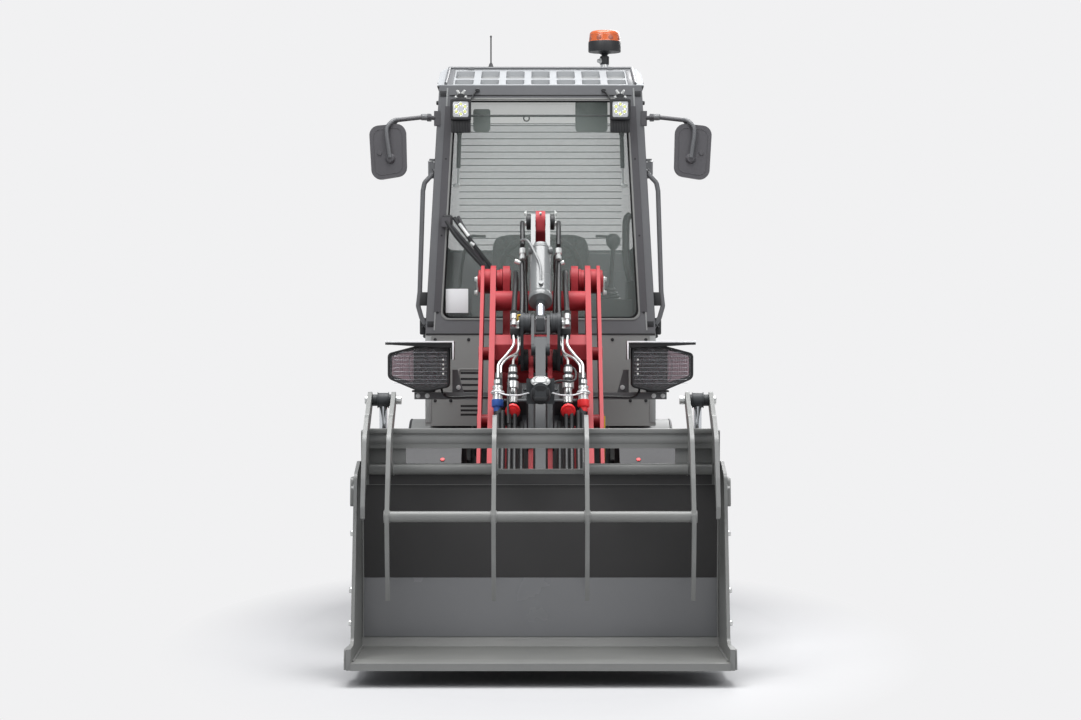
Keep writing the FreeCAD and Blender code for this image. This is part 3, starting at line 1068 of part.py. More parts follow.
def main():
    os.makedirs("parts", exist_ok=True)
    for name, side, y in (("front_left", -1, FRONT_AXLE_Y), ("front_right", 1, FRONT_AXLE_Y),
                          ("rear_left", -1, REAR_AXLE_Y), ("rear_right", 1, REAR_AXLE_Y)):
        save("tyre_" + name, tyre(side, y))
        save("rim_" + name, rim(side, y))
    save("front_axle", axle(FRONT_AXLE_Y))
    save("rear_axle", axle(REAR_AXLE_Y))
    save("tower", tower())
    save("front_frame", *front_frame(), *steering_bracket())
    save("front_fenders", *front_fenders())
    save("lamp_bar", *lamp_bar())
    save("headlamps", *headlamps())
    save("loader_arm", loader_arm())
    save("hydraulic_couplers", *hydraulic_couplers())
    save("tilt_barrel", tilt_barrel())
    save("tilt_rod", tilt_rod())
    save("tilt_lever", *tilt_lever())
    save("push_link", push_link())
    save("lift_barrel", lift_barrel())
    save("lift_rod", lift_rod())
    save("steer_barrel", steer_barrel())
    save("steer_rod", steer_rod())
    save("quick_hitch", quick_hitch())
    save("bucket", bucket())
    save("grapple", grapple())
    save("grapple_barrels", *grapple_barrels())
    save("grapple_rods", *grapple_rods())
    save("rear_frame", rear_frame())
    save("engine_block", engine_block())
    save("counterweight", counterweight())
    save("hood", hood())
    save("cab_base", cab_base())
    save("cab_frame", cab_frame())
    save("cab_glass", *cab_glass())
    save("cab_roof", cab_roof())
    save("door_left", door(-1))
    save("door_right", door(1))
    save("door_glass_left", *door_glass(-1))
    save("door_glass_right", *door_glass(1))
    save("seat_base", seat_base())
    save("seat_cushions", *seat_cushions())
    save("controls", *controls())
    save("steering_wheel", steering_wheel())
    save("mirrors", *mirrors())
    save("handrails", *handrails())
    save("work_lamps", *work_lamps())
    save("wiper", wiper())
    save("roof_beacon", roof_beacon())
    save("roof_antenna", roof_antenna())
    save("side_steps", *side_steps())
    save("rear_lamps", *both(rear_lamps()))


main()
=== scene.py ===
import logging
import math
from dataclasses import dataclass, field
from enum import Enum

import bmesh
import bpy
from mathutils import Matrix, Vector


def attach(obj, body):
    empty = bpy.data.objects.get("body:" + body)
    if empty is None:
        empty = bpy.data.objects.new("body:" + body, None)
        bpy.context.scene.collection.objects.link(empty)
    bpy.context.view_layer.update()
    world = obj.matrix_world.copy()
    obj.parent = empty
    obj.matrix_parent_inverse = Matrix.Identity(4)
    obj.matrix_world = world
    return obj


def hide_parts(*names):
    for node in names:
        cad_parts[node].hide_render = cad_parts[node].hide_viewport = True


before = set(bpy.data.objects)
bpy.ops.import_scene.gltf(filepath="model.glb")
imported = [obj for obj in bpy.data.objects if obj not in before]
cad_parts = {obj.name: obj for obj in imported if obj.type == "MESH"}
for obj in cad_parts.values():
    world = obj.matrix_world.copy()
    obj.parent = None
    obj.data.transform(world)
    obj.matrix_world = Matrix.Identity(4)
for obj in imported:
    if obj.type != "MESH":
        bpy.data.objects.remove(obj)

LOG = logging.getLogger("loader")
Point = tuple[float, ...]
Run = tuple[bpy.types.Node, str | int, bpy.types.Node, str | int]
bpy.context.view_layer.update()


# ---------------------------------------------------------------- mesh building
class Axis(Enum):
    """The direction that a flat outline is pushed along."""

    X = 0
    Y = 1
    Z = 2


def rounded(points: list[Point], steps: int = 4) -> list[Point]:
    """Rounds the corners of a closed outline.

    Args:
        points: corners (u, v) or (u, v, radius), in order.
        steps: runs in each rounded corner.

    Returns:
        The outline's points (u, v).
    """
    result: list[Point] = []
    count = len(points)
    for i, corner in enumerate(points):
        here = Vector(corner[:2])
        radius = corner[2] if len(corner) > 2 else 0.0
        before = Vector(points[i - 1][:2]) - here
        after = Vector(points[(i + 1) % count][:2]) - here
        angle = before.angle(after, 0.0)
        if radius <= 0.0 or angle < 0.02 or angle > 3.12:
            result.append(tuple(here))
            continue
        back = min(radius / math.tan(angle / 2), before.length * 0.49, after.length * 0.49)
        radius = back * math.tan(angle / 2)
        start = here + before.normalized() * back
        end = here + after.normalized() * back
        inward = (before.normalized() + after.normalized()).normalized()
        centre = here + inward * (radius / math.sin(angle / 2))
        first = start - centre
        turn = first.angle_signed(end - centre)
        for k in range(steps + 1):
            spot = centre + Matrix.Rotation(-turn * k / steps, 2) @ first
            result.append(tuple(spot))
    return result


def oblong(u0: float, v0: float, u1: float, v1: float, radius: float = 0.0) -> list[Point]:
    """The corners (u, v, radius) of a rectangle between two opposite ones."""
    return [(u0, v0, radius), (u1, v0, radius), (u1, v1, radius), (u0, v1, radius)]


def placed(axis: Axis, u: float, v: float, w: float) -> Vector:
    """The point with outline coordinates (u, v) at station w on an axis."""
    return Vector({Axis.X: (w, u, v), Axis.Y: (u, w, v), Axis.Z: (u, v, w)}[axis])


class Shape:
    """A mesh being built, in metres, in the model's own frame."""

    def __init__(self) -> None:
        """Starts an empty mesh."""
        self.bm = bmesh.new()

    def _take(self, part: bmesh.types.BMesh, bevel: float) -> "Shape":
        """Adds a finished part, its sharp edges bevelled."""
        bmesh.ops.recalc_face_normals(part, faces=part.faces)
        if bevel > 0:
            sharp = [e for e in part.edges if len(e.link_faces) == 2 and e.calc_face_angle(0.0) > 0.6]
            bmesh.ops.bevel(part, geom=sharp, offset=bevel, segments=2, profile=0.5, affect="EDGES",
                clamp_overlap=True)
        held = bpy.data.meshes.new("held")
        part.to_mesh(held)
        part.free()
        self.bm.from_mesh(held)
        bpy.data.meshes.remove(held)
        return self

    def prism(self, points: list[Point], axis: Axis, low: float, high: float, bevel: float = 0.0,
            steps: int = 4) -> "Shape":
        """Adds an outline pushed along an axis.

        Args:
            points: the outline in the other two axes, in order, with optional corner radii.
            axis: the direction of the push.
            low: where it starts on that axis.
            high: where it ends.
            bevel: the size of the bevel on its sharp edges.
            steps: runs in each rounded corner.

        Returns:
            This shape.
        """
        part = bmesh.new()
        flat = rounded(points, steps)
        bottom = [part.verts.new(placed(axis, u, v, low)) for u, v in flat]
        top = [part.verts.new(placed(axis, u, v, high)) for u, v in flat]
        part.faces.new(bottom)
        part.faces.new(list(reversed(top)))
        for i in range(len(flat)):
            j = (i + 1) % len(flat)
            part.faces.new((bottom[i], bottom[j], top[j], top[i]))
        return self._take(part, bevel)

    def ring(self, outer: list[Point], inner: list[Point], axis: Axis, low: float, high: float,
            bevel: float = 0.0, steps: int = 4) -> "Shape":
        """Adds an outline with a hole, pushed along an axis.

        Args:
            outer: the outer outline, as for a prism.
            inner: the hole's outline, with the same corners.
            axis: the direction of the push.
            low: where it starts on that axis.
            high: where it ends.
            bevel: the size of the bevel on its sharp edges.
            steps: runs in each rounded corner.

        Returns:
            This shape.
        """
        part = bmesh.new()
        loops = [[part.verts.new(placed(axis, u, v, w)) for u, v in rounded(points, steps)] for points,
            w in ((outer, low), (outer, high), (inner, high), (inner, low))]
        for here, there in zip(loops, loops[1:] + loops[:1]):
            for i in range(len(here)):
                j = (i + 1) % len(here)
                part.faces.new((here[i], here[j], there[j], there[i]))
        return self._take(part, bevel)

    def box(self, low: Point, high: Point, bevel: float = 0.0015) -> "Shape":
        """Adds a block between two corners, with bevelled edges."""
        return self.prism(oblong(*low[:2], *high[:2]), Axis.Z, low[2], high[2], bevel)

    def turned(self, profile: list[Point], base: Point, direction: Point, segments: int = 32,
            bevel: float = 0.0) -> "Shape":
        """Adds a turned form.

        Args:
            profile: points (radius, height) from the base along the direction.
            base: where height is nought.
            direction: the axis it turns about.
            segments: faces around it.
            bevel: the size of the bevel on its sharp edges.

        Returns:
            This shape.
        """
        part = bmesh.new()
        turn = Vector((0, 0, 1)).rotation_difference(Vector(direction).normalized()).to_matrix()
        rings: list[list[bmesh.types.BMVert]] = []
        for radius, height in profile:
            if radius < 1e-6:
                rings.append([part.verts.new(turn @ Vector((0, 0, height)) + Vector(base))])
                continue
            ring = []
            for k in range(segments):
                angle = 2 * math.pi * k / segments
                spot = Vector((radius * math.cos(angle), radius * math.sin(angle), height))
                ring.append(part.verts.new(turn @ spot + Vector(base)))
            rings.append(ring)
        for lower, upper in zip(rings, rings[1:]):
            for k in range(segments):
                nxt = (k + 1) % segments
                corners = [lower[k % len(lower)], lower[nxt % len(lower)], upper[nxt % len(upper)],
                    upper[k % len(upper)]]
                part.faces.new(list(dict.fromkeys(corners)))
        for ring in (rings[0], rings[-1]):
            if len(ring) > 1:
                part.faces.new(ring)
        return self._take(part, bevel)

    def rod(self, start: Point, end: Point, radius: float, segments: int = 20,
            bevel: float = 0.0) -> "Shape":
        """Adds a round bar between two points."""
        along = Vector(end) - Vector(start)
        return self.turned([(radius, 0.0), (radius, along.length)], start, tuple(along), segments, bevel)

    def hexagon(self, base: Point, direction: Point, across: float, height: float) -> "Shape":
        """Adds a hexagon bolt head on a washer."""
        self.turned([(across * 0.78, 0.0), (across * 0.78, height * 0.2)], base, direction, 20)
        return self.turned([(across * 0.577, 0.0), (across * 0.577, height * 0.86), (across * 0.5, height)],
            base, direction, 6)

    def tube(self, route: list[Point], radius: float, segments: int = 12, smooth: int = 8) -> "Shape":
        """Adds a bent tube or hose through points, with closed ends.

        Args:
            route: the points that it goes through.
            radius: its outer radius.
            segments: faces around it.
            smooth: runs between two points, or 1 for straight runs.

        Returns:
            This shape.
        """
        part = bmesh.new()
        path = curve_through(route, smooth)
        up = Vector((0, 0, 1)) if abs((path[1] - path[0]).normalized().z) < 0.9 else Vector((1, 0, 0))
        rings = []
        for i, spot in enumerate(path):
            ahead = (path[min(i + 1, len(path) - 1)] - path[max(i - 1, 0)]).normalized()
            side = ahead.cross(up).normalized()
            up = side.cross(ahead).normalized()
            ring = []
            for k in range(segments):
                angle = 2 * math.pi * k / segments
                out = side * math.cos(angle) + up * math.sin(angle)
                ring.append(part.verts.new(spot + out * radius))
            rings.append(ring)
        for lower, upper in zip(rings, rings[1:]):
            for k in range(segments):
                nxt = (k + 1) % segments
                part.faces.new((lower[k], lower[nxt], upper[nxt], upper[k]))
        part.faces.new(rings[0])
        part.faces.new(rings[-1])
        return self._take(part, 0.0)

    def torus(self, centre: Point, direction: Point, radius: float, thick: float, segments: int = 48,
            around: int = 12) -> "Shape":
        """Adds a ring about a direction."""
        part = bmesh.new()
        turn = Vector((0, 0, 1)).rotation_difference(Vector(direction).normalized()).to_matrix()
        rings = []
        for i in range(segments):
            a = 2 * math.pi * i / segments
            ring = []
            for k in range(around):
                b = 2 * math.pi * k / around
                reach = radius + thick * math.cos(b)
                spot = Vector((reach * math.cos(a), reach * math.sin(a), thick * math.sin(b)))
                ring.append(part.verts.new(turn @ spot + Vector(centre)))
            rings.append(ring)
        for i, ring in enumerate(rings):
            nxt = rings[(i + 1) % segments]
            for k in range(around):
                j = (k + 1) % around
                part.faces.new((ring[k], ring[j], nxt[j], nxt[k]))
        return self._take(part, 0.0)

    def mirrored(self) -> "Shape":
        """Adds a mirror image across the machine's middle plane."""
        held = bpy.data.meshes.new("held")
        self.bm.to_mesh(held)
        held.transform(Matrix.Scale(-1, 4, (1, 0, 0)))
        held.flip_normals()
        self.bm.from_mesh(held)
        bpy.data.meshes.remove(held)
        return self

    def flipped(self, side: float) -> "Shape":
        """Turns everything built so far into its mirror image where side is negative."""
        if side < 0:
            self.bm.transform(Matrix.Scale(-1, 4, (1, 0, 0)))
            bmesh.ops.reverse_faces(self.bm, faces=self.bm.faces)
        return self

    def mesh(self, name: str) -> bpy.types.Mesh:
        """Closes the shape and returns it as a mesh."""
        data = bpy.data.meshes.new(name)
        self.bm.to_mesh(data)
        self.bm.free()
        return data


def curve_through(route: list[Point], smooth: int) -> list[Vector]:
    """Points on a smooth line through a route.

    Args:
        route: the points that it goes through.
        smooth: runs between two of them.

    Returns:
        The line's points.
    """
    spots = [Vector(p) for p in route]
    if smooth <= 1 or len(spots) < 3:
        return spots
    ends = [spots[0] * 2 - spots[1]] + spots + [spots[-1] * 2 - spots[-2]]
    path = []
    for a, b, c, d in zip(ends, ends[1:], ends[2:], ends[3:]):
        for k in range(smooth):
            t = k / smooth
            square, cube = 2 * a - 5 * b + 4 * c - d, 3 * b - a - 3 * c + d
            path.append(0.5 * (2 * b + (c - a) * t + square * t * t + cube * t ** 3))
    path.append(spots[-1])
    return path


# ---------------------------------------------------------------- node trees
def wire(tree: bpy.types.NodeTree, *runs: Run) -> None:
    """Links outputs to inputs, each run as node, output, node and input."""
    for source, out, target, into in runs:
        tree.links.new(source.outputs[out], target.inputs[into])


def maths(tree: bpy.types.NodeTree, operation: str, kind: str = "ShaderNodeMath") -> bpy.types.Node:
    """Adds a node that works out an operation."""
    node = tree.nodes.new(kind)
    node.operation = operation
    return node


def preset(node: bpy.types.Node, values: dict[str | int, object]) -> None:
    """Sets the values of a node's inputs."""
    for name, value in values.items():
        node.inputs[name].default_value = value


class Spread(Enum):
    """How copies of a form are laid out."""

    ROUND = "turned about the X axis"
    ROW = "moved along a line"


def spread_tree(way: Spread) -> bpy.types.NodeTree:
    """Builds the tree that repeats a mesh and gives the copies their material.

    Args:
        way: how the copies are laid out.

    Returns:
        A tree with the inputs Count, Centre, Step, Start and Material.
    """
    tree = bpy.data.node_groups.new("copies_" + way.name.lower(), "GeometryNodeTree")
    tree.is_modifier = True
    for name, kind in (("Geometry", "Geometry"), ("Count", "Int"), ("Centre", "Vector"), ("Step", "Vector"),
            ("Start", "Vector"), ("Material", "Material")):
        tree.interface.new_socket(name, in_out="INPUT", socket_type="NodeSocket" + kind)
    tree.interface.new_socket("Geometry", in_out="OUTPUT", socket_type="NodeSocketGeometry")
    make = tree.nodes.new
    inputs, outputs = make("NodeGroupInput"), make("NodeGroupOutput")
    points = make("GeometryNodePoints")
    index = make("GeometryNodeInputIndex")
    scale = maths(tree, "SCALE", "ShaderNodeVectorMath")
    add = maths(tree, "ADD", "ShaderNodeVectorMath")
    copies = make("GeometryNodeInstanceOnPoints")
    real = make("GeometryNodeRealizeInstances")
    dress = make("GeometryNodeSetMaterial")
    wire(tree, (inputs, "Count", points, "Count"), (inputs, "Step", scale, 0), (index, 0, scale, "Scale"),
        (scale, 0, add, 0), (inputs, "Start", add, 1), (inputs, "Geometry", copies, "Instance"))
    if way is Spread.ROUND:
        turn = make("FunctionNodeEulerToRotation")
        wire(tree, (inputs, "Centre", points, "Position"), (add, 0, turn, 0), (turn, 0, copies, "Rotation"),
            (points, 0, copies, "Points"))
    else:
        place = make("GeometryNodeSetPosition")
        wire(tree, (points, 0, place, "Geometry"), (add, 0, place, "Position"),
            (inputs, "Centre", place, "Offset"), (place, 0, copies, "Points"))
    wire(tree, (copies, 0, real, 0), (real, 0, dress, "Geometry"), (inputs, "Material", dress, "Material"),
        (dress, 0, outputs, 0))
    return tree


TREES = {way: spread_tree(way) for way in Spread}


def copies(form: Shape, way: Spread, count: int, step: Point, finish: "Finish", centre: Point = (0, 0, 0),
        start: Point = (0, 0, 0)) -> bpy.types.Mesh:
    """Repeats a form with a geometry node tree and returns the result as one plain mesh.

    Args:
        form: the form, about the origin.
        way: turned about X, or moved in a row.
        count: how many copies.
        step: the turn in radians or the move in metres from each to the next.
        finish: the finish that the copies take.
        centre: where the turning axis or the row's zero is.
        start: the first copy's turn or place.

    Returns:
        The copies as a mesh.
    """
    worker = bpy.data.objects.new("worker", form.mesh("form"))
    bpy.context.scene.collection.objects.link(worker)
    modifier = worker.modifiers.new("copies", "NODES")
    modifier.node_group = TREES[way]
    values = {"Count": count, "Centre": centre, "Step": step, "Start": start, "Material": finish.material()}
    for item in TREES[way].interface.items_tree:
        if item.in_out == "INPUT" and item.name in values:
            modifier[item.identifier] = values[item.name]
    depsgraph = bpy.context.evaluated_depsgraph_get()
    data = bpy.data.meshes.new_from_object(worker.evaluated_get(depsgraph))
    worker.modifiers.remove(modifier)
    bpy.data.objects.remove(worker)
    return data


def spread(form: Shape, way: Spread, count: int, step: Point, finish: "Finish", centre: Point) -> Shape:
    """The same copies as a shape, which can be mirrored."""
    data = copies(form, way, count, step, finish, centre)
    shape = Shape()
    shape.bm.from_mesh(data)
    bpy.data.meshes.remove(data)
    return shape


# ---------------------------------------------------------------- finishes
def linear(colour: Point) -> tuple[float, float, float, float]:
    """Turns a 0 to 255 display colour into linear light with full alpha."""
    parts = [c / 255 for c in colour]
    return tuple(p / 12.92 if p < 0.04045 else ((p + 0.055) / 1.055) ** 2.4 for p in parts) + (1.0,)


def group(name: str, sockets: list[tuple[str, str, str, object]]) -> tuple[bpy.types.NodeTree, object,
        object]:
    """Starts a shader node group.

    Args:
        name: the group's name.
        sockets: (name, INPUT or OUTPUT, socket type, default or None) for each socket.

    Returns:
        The group, its input node and its output node.
    """
    tree = bpy.data.node_groups.new(name, "ShaderNodeTree")
    for label, way, kind, value in sockets:
        socket = tree.interface.new_socket(label, in_out=way, socket_type="NodeSocket" + kind)
        if value is not None:
            socket.default_value = value
    return tree, tree.nodes.new("NodeGroupInput"), tree.nodes.new("NodeGroupOutput")


def grain_group() -> bpy.types.NodeTree:
    """Fine surface grain with a slow tone change: puts out a height, a roughness and a tone."""
    tree, inputs, outputs = group("surface_grain", [("Vector", "INPUT", "Vector", None),
        ("Scale", "INPUT", "Float", 400.0), ("Roughness", "INPUT", "Float", 0.4),
        ("Spread", "INPUT", "Float", 0.1), ("Height", "OUTPUT", "Float", None),
        ("Roughness", "OUTPUT", "Float", None), ("Tone", "OUTPUT", "Float", None)])
    make = tree.nodes.new
    fine, slow = make("ShaderNodeTexNoise"), make("ShaderNodeTexNoise")
    fine.inputs["Detail"].default_value = 3.0
    preset(slow, {"Scale": 5.0, "Detail": 5.0})
    wire(tree, (inputs, "Vector", fine, "Vector"), (inputs, "Scale", fine, "Scale"),
        (inputs, "Vector", slow, "Vector"))
    centred = maths(tree, "SUBTRACT")
    centred.inputs[1].default_value = 0.5
    wire(tree, (slow, "Fac", centred, 0))
    wide = maths(tree, "MULTIPLY_ADD")
    wire(tree, (centred, 0, wide, 0), (inputs, "Spread", wide, 1), (inputs, "Roughness", wide, 2),
        (fine, "Fac", outputs, "Height"), (wide, 0, outputs, "Roughness"), (slow, "Fac", outputs, "Tone"))
    return tree


def dust_group() -> bpy.types.NodeTree:
    """A thin film of dust that gathers low down and on upward faces: puts out a mask."""
    tree, inputs, outputs = group("dust_film", [("Vector", "INPUT", "Vector", None),
        ("Facing", "INPUT", "Vector", None), ("Amount", "INPUT", "Float", 0.1),
        ("Reach", "INPUT", "Float", 0.9), ("Mask", "OUTPUT", "Float", None)])
    make = tree.nodes.new
    place, facing = make("ShaderNodeSeparateXYZ"), make("ShaderNodeSeparateXYZ")
    cloud = make("ShaderNodeTexNoise")
    preset(cloud, {"Scale": 14.0, "Detail": 6.0})
    wire(tree, (inputs, "Vector", place, 0), (inputs, "Vector", cloud, "Vector"),
        (inputs, "Facing", facing, 0))
    low = make("ShaderNodeMapRange")
    wire(tree, (place, "Z", low, "Value"))
    low.inputs["From Min"].default_value = 0.0
    wire(tree, (inputs, "Reach", low, "From Max"))
    preset(low, {"To Min": 1.0, "To Max": 0.15})
    flat = make("ShaderNodeMapRange")
    wire(tree, (facing, "Z", flat, "Value"))
    preset(flat, {"From Min": 0.2, "To Min": 0.45})
    product, spotted, amount = make("ShaderNodeMath"), make("ShaderNodeMath"), make("ShaderNodeMath")
    for node in (product, spotted, amount):
        node.operation = "MULTIPLY"
    amount.use_clamp = True
    wire(tree, (low, 0, product, 0), (flat, 0, product, 1), (product, 0, spotted, 0),
        (cloud, "Fac", spotted, 1), (spotted, 0, amount, 0), (inputs, "Amount", amount, 1),
        (amount, 0, outputs, "Mask"))
    return tree


def wear_group() -> bpy.types.NodeTree:
    """Worn edges: puts out a mask where an edge is sharp, broken up by noise."""
    tree, inputs, outputs = group("edge_wear", [("Vector", "INPUT", "Vector", None),
        ("Pointiness", "INPUT", "Float", 0.5), ("Amount", "INPUT", "Float", 0.2),
        ("Mask", "OUTPUT", "Float", None)])
    make = tree.nodes.new
    edge, cloud, mask = make("ShaderNodeMapRange"), make("ShaderNodeTexNoise"), make("ShaderNodeMath")
    preset(cloud, {"Scale": 60.0, "Detail": 4.0})
    preset(edge, {"From Min": 0.54, "From Max": 0.68})
    wire(tree, (inputs, "Vector", cloud, "Vector"), (inputs, "Pointiness", edge, "Value"))
    broken = make("ShaderNodeMath")
    broken.operation = mask.operation = "MULTIPLY"
    wire(tree, (edge, 0, broken, 0), (cloud, "Fac", broken, 1), (broken, 0, mask, 0),
        (inputs, "Amount", mask, 1), (mask, 0, outputs, "Mask"))
    return tree


GRAIN, DUST, WEAR = grain_group(), dust_group(), wear_group()
DUST_COLOUR = linear((150, 143, 132))
BARE_COLOUR = linear((150, 150, 152))


@dataclass(frozen=True)
class Finish:
    """An opaque finish, with grain, a slow change of tone, dust and a little wear."""

    name: str
    slot: str
    colour: Point
    roughness: float = 0.4
    spread: float = 0.12
    metallic: float = 0.0
    grain: float = 420.0
    bump: float = 0.06
    tone: float = 0.06
    dust: float = 0.1
    wear: float = 0.15
    coat: float = 0.0
    sheen: float = 0.0
    glow: float = 0.0
    weave: float = 0.0
    gloss: float = 0.5

    def material(self) -> bpy.types.Material:
        """Returns the finish's material, built the first time."""
        if self.name in bpy.data.materials:
            return bpy.data.materials[self.name]
        material = bpy.data.materials.new(self.name)
        material.use_nodes = True
        tree = material.node_tree
        make, link = tree.nodes.new, tree.links.new
        shader = tree.nodes["Principled BSDF"]
        spot, shape = make("ShaderNodeTexCoord"), make("ShaderNodeNewGeometry")
        grain, dust, wear = (make("ShaderNodeGroup") for _ in range(3))
        grain.node_tree, dust.node_tree, wear.node_tree = GRAIN, DUST, WEAR
        for node in (grain, dust, wear):
            wire(tree, (spot, "Object", node, "Vector"))
        preset(grain, {"Scale": self.grain, "Roughness": self.roughness, "Spread": self.spread})
        dust.inputs["Amount"].default_value = self.dust
        wear.inputs["Amount"].default_value = self.wear
        wire(tree, (spot, "Normal", dust, "Facing"), (shape, "Pointiness", wear, "Pointiness"))
        base = linear(self.colour)
        toned, dusty, bared = (make("ShaderNodeMix") for _ in range(3))
        for node in (toned, dusty, bared):
            node.data_type = "RGBA"
        preset(toned, {"A": [c * (1 - self.tone) for c in base[:3]] + [1.0],
            "B": [min(c * (1 + self.tone), 1.0) for c in base[:3]] + [1.0]})
        dusty.inputs["B"].default_value = DUST_COLOUR
        bared.inputs["B"].default_value = BARE_COLOUR
        wire(tree, (grain, "Tone", toned, "Factor"), (toned, "Result", dusty, "A"),
            (dust, "Mask", dusty, "Factor"), (dusty, "Result", bared, "A"), (wear, "Mask", bared, "Factor"),
            (bared, "Result", shader, "Base Color"), (grain, "Roughness", shader, "Roughness"))
        bump = make("ShaderNodeBump")
        preset(bump, {"Strength": self.bump, "Distance": 0.001})
        height = grain.outputs["Height"]
        if self.weave > 0:
            height = self._woven(tree, spot.outputs["Object"], height)
        link(height, bump.inputs["Height"])
        wire(tree, (bump, "Normal", shader, "Normal"))
        preset(shader, {"Metallic": self.metallic, "Specular IOR Level": self.gloss,
            "Coat Weight": self.coat, "Coat Roughness": 0.12, "Sheen Weight": self.sheen})
        if self.glow > 0:
            preset(shader, {"Emission Color": base, "Emission Strength": self.glow})
        return material

    def _woven(self, tree: bpy.types.NodeTree, spot: object, grain: object) -> object:
        """Adds crossed threads to the grain and returns the joined height."""
        make, link = tree.nodes.new, tree.links.new
        total = maths(tree, "MULTIPLY")
        for k, way in enumerate(("X", "Z")):
            threads = make("ShaderNodeTexWave")
            threads.bands_direction = way
            threads.inputs["Scale"].default_value = self.weave
            link(spot, threads.inputs["Vector"])
            wire(tree, (threads, "Fac", total, k))
        joined = maths(tree, "ADD")
        wire(tree, (total, 0, joined, 0))
        link(grain, joined.inputs[1])
        return joined.outputs[0]


@dataclass(frozen=True)
class ClearFinish:
    """Glass or clear plastic: thin, faintly tinted and slightly uneven."""

    name: str
    slot: str
    colour: Point = (232, 240, 237)
    roughness: float = 0.02
    alpha: float = 0.16
    ripple: float = 0.0
    ripple_scale: float = 60.0

    def material(self) -> bpy.types.Material:
        """Returns the finish's material, built the first time."""
        if self.name in bpy.data.materials:
            return bpy.data.materials[self.name]
        material = bpy.data.materials.new(self.name)
        material.use_nodes = True
        tree = material.node_tree
        make = tree.nodes.new
        shader = tree.nodes["Principled BSDF"]
        spot, grain = make("ShaderNodeTexCoord"), make("ShaderNodeGroup")
        grain.node_tree = GRAIN
        wire(tree, (spot, "Object", grain, "Vector"))
        preset(grain, {"Roughness": self.roughness, "Spread": 0.04})
        wire(tree, (grain, "Roughness", shader, "Roughness"))
        tint = make("ShaderNodeMix")
        tint.data_type = "RGBA"
        base = linear(self.colour)
        preset(tint, {"A": base, "B": [c * 0.94 for c in base[:3]] + [1.0]})
        wire(tree, (grain, "Tone", tint, "Factor"), (tint, "Result", shader, "Base Color"))
        if self.ripple > 0:
            wave, bump = make("ShaderNodeTexWave"), make("ShaderNodeBump")
            wave.inputs["Scale"].default_value = self.ripple_scale
            wire(tree, (spot, "Object", wave, "Vector"))
            preset(bump, {"Strength": self.ripple, "Distance": 0.002})
            wire(tree, (wave, "Fac", bump, "Height"), (bump, "Normal", shader, "Normal"))
        preset(shader, {"Alpha": self.alpha, "IOR": 1.5})
        return material


# The finishes, named for what wears them
RED = Finish("arm_red_paint", "arm_red", (162, 50, 56), 0.5, bump=0.05, dust=0.05, wear=0.1, gloss=0.25)
HOOD_RED = Finish("hood_red_paint", "hood_red", (186, 38, 46), 0.3, coat=0.35, bump=0.04, dust=0.08,
    wear=0.05)
FRAME = Finish("frame_anthracite_paint", "frame_anthracite", (96, 98, 99), 0.42, bump=0.06, dust=0.12)
PANEL = Finish("cab_panel_paint", "cab_panel", (130, 131, 129), 0.4, bump=0.05, dust=0.1)
CAB = Finish("cab_anthracite_paint", "cab_anthracite", (98, 99, 101), 0.38, bump=0.05, dust=0.06)
BUCKET = Finish("bucket_grey_paint", "bucket_grey", (118, 119, 117), 0.42, bump=0.08, dust=0.12, wear=0.3,
    tone=0.1)
LINKAGE = Finish("linkage_grey_paint", "linkage_grey", (60, 62, 64), 0.5, gloss=0.3, bump=0.06, dust=0.06)
CASTING = Finish("rough_casting", "cast_iron", (66, 67, 68), 0.55, bump=0.35, grain=160.0, dust=0.14,
    wear=0.2)
BARREL = Finish("cylinder_grey_paint", "cylinder_grey", (104, 106, 106), 0.26, coat=0.3, bump=0.03,
    dust=0.03)
CHROME = Finish("polished_rod", "chrome_rod", (205, 208, 212), 0.1, 0.06, 1.0, bump=0.01, dust=0.01,
    wear=0.0)
ZINC = Finish("zinc_plate", "chrome_rod", (214, 215, 213), 0.3, 0.15, 0.75, bump=0.06, dust=0.02, wear=0.0)
WHITE = Finish("white_plate", "roof_white", (232, 233, 234), 0.4, bump=0.05, dust=0.03, wear=0.0)
ROOF = Finish("roof_shell", "roof_white", (150, 152, 154), 0.5, bump=0.08, dust=0.05, wear=0.0, gloss=0.15)
BLACK = Finish("black_moulding", "black_plastic", (27, 28, 30), 0.5, bump=0.2, grain=700.0, dust=0.05,
    wear=0.1)
HOSE = Finish("hose_rubber", "black_plastic", (30, 31, 32), 0.46, bump=0.12, grain=900.0, dust=0.05)
TYRE = Finish("tyre_rubber_black", "tyre_rubber", (44, 44, 45), 0.72, bump=0.3, grain=520.0, dust=0.35,
    wear=0.0)
RIM = Finish("rim_paint", "rim_grey", (188, 190, 192), 0.34, bump=0.05, dust=0.12)
SEAT = Finish("seat_cloth", "seat_fabric", (58, 60, 61), 0.85, bump=0.5, grain=900.0, weave=260.0,
    sheen=0.3, dust=0.05, wear=0.0)
RAIL = Finish("rail_paint", "rail_steel", (92, 93, 95), 0.36, bump=0.05)
BEACON = Finish("beacon_dome", "beacon_orange", (184, 88, 44), 0.26, 0.05, coat=0.3, bump=0.02, dust=0.02,
    glow=0.03)
BEACON_LAMP = Finish("beacon_lamp", "beacon_orange", (150, 84, 66), 0.3, coat=0.3, bump=0.05, dust=0.02,
    wear=0.0)
MOULDING = Finish("grey_moulding", "black_plastic", (72, 71, 74), 0.5, bump=0.2, grain=700.0, dust=0.04,
    wear=0.05)
# A headliner board that glows though it is no lamp: painted light on the cab's roof lining seen through the
# glass.
HEADLINER = Finish("headliner_board", "roof_white", (196, 196, 195), 0.7, bump=0.15, grain=600.0, dust=0.0,
    wear=0.0, glow=0.85)
# A dark sheet on the bucket's upper back wall: painted shade, since that wall leans forward and gets little
# light.
PAINTED_BACK_SHADE = Finish("bucket_back_painted_shade", "bucket_grey", (67, 66, 66), 0.6, bump=0.08, dust=0.0, wear=0.0,
    gloss=0.3)
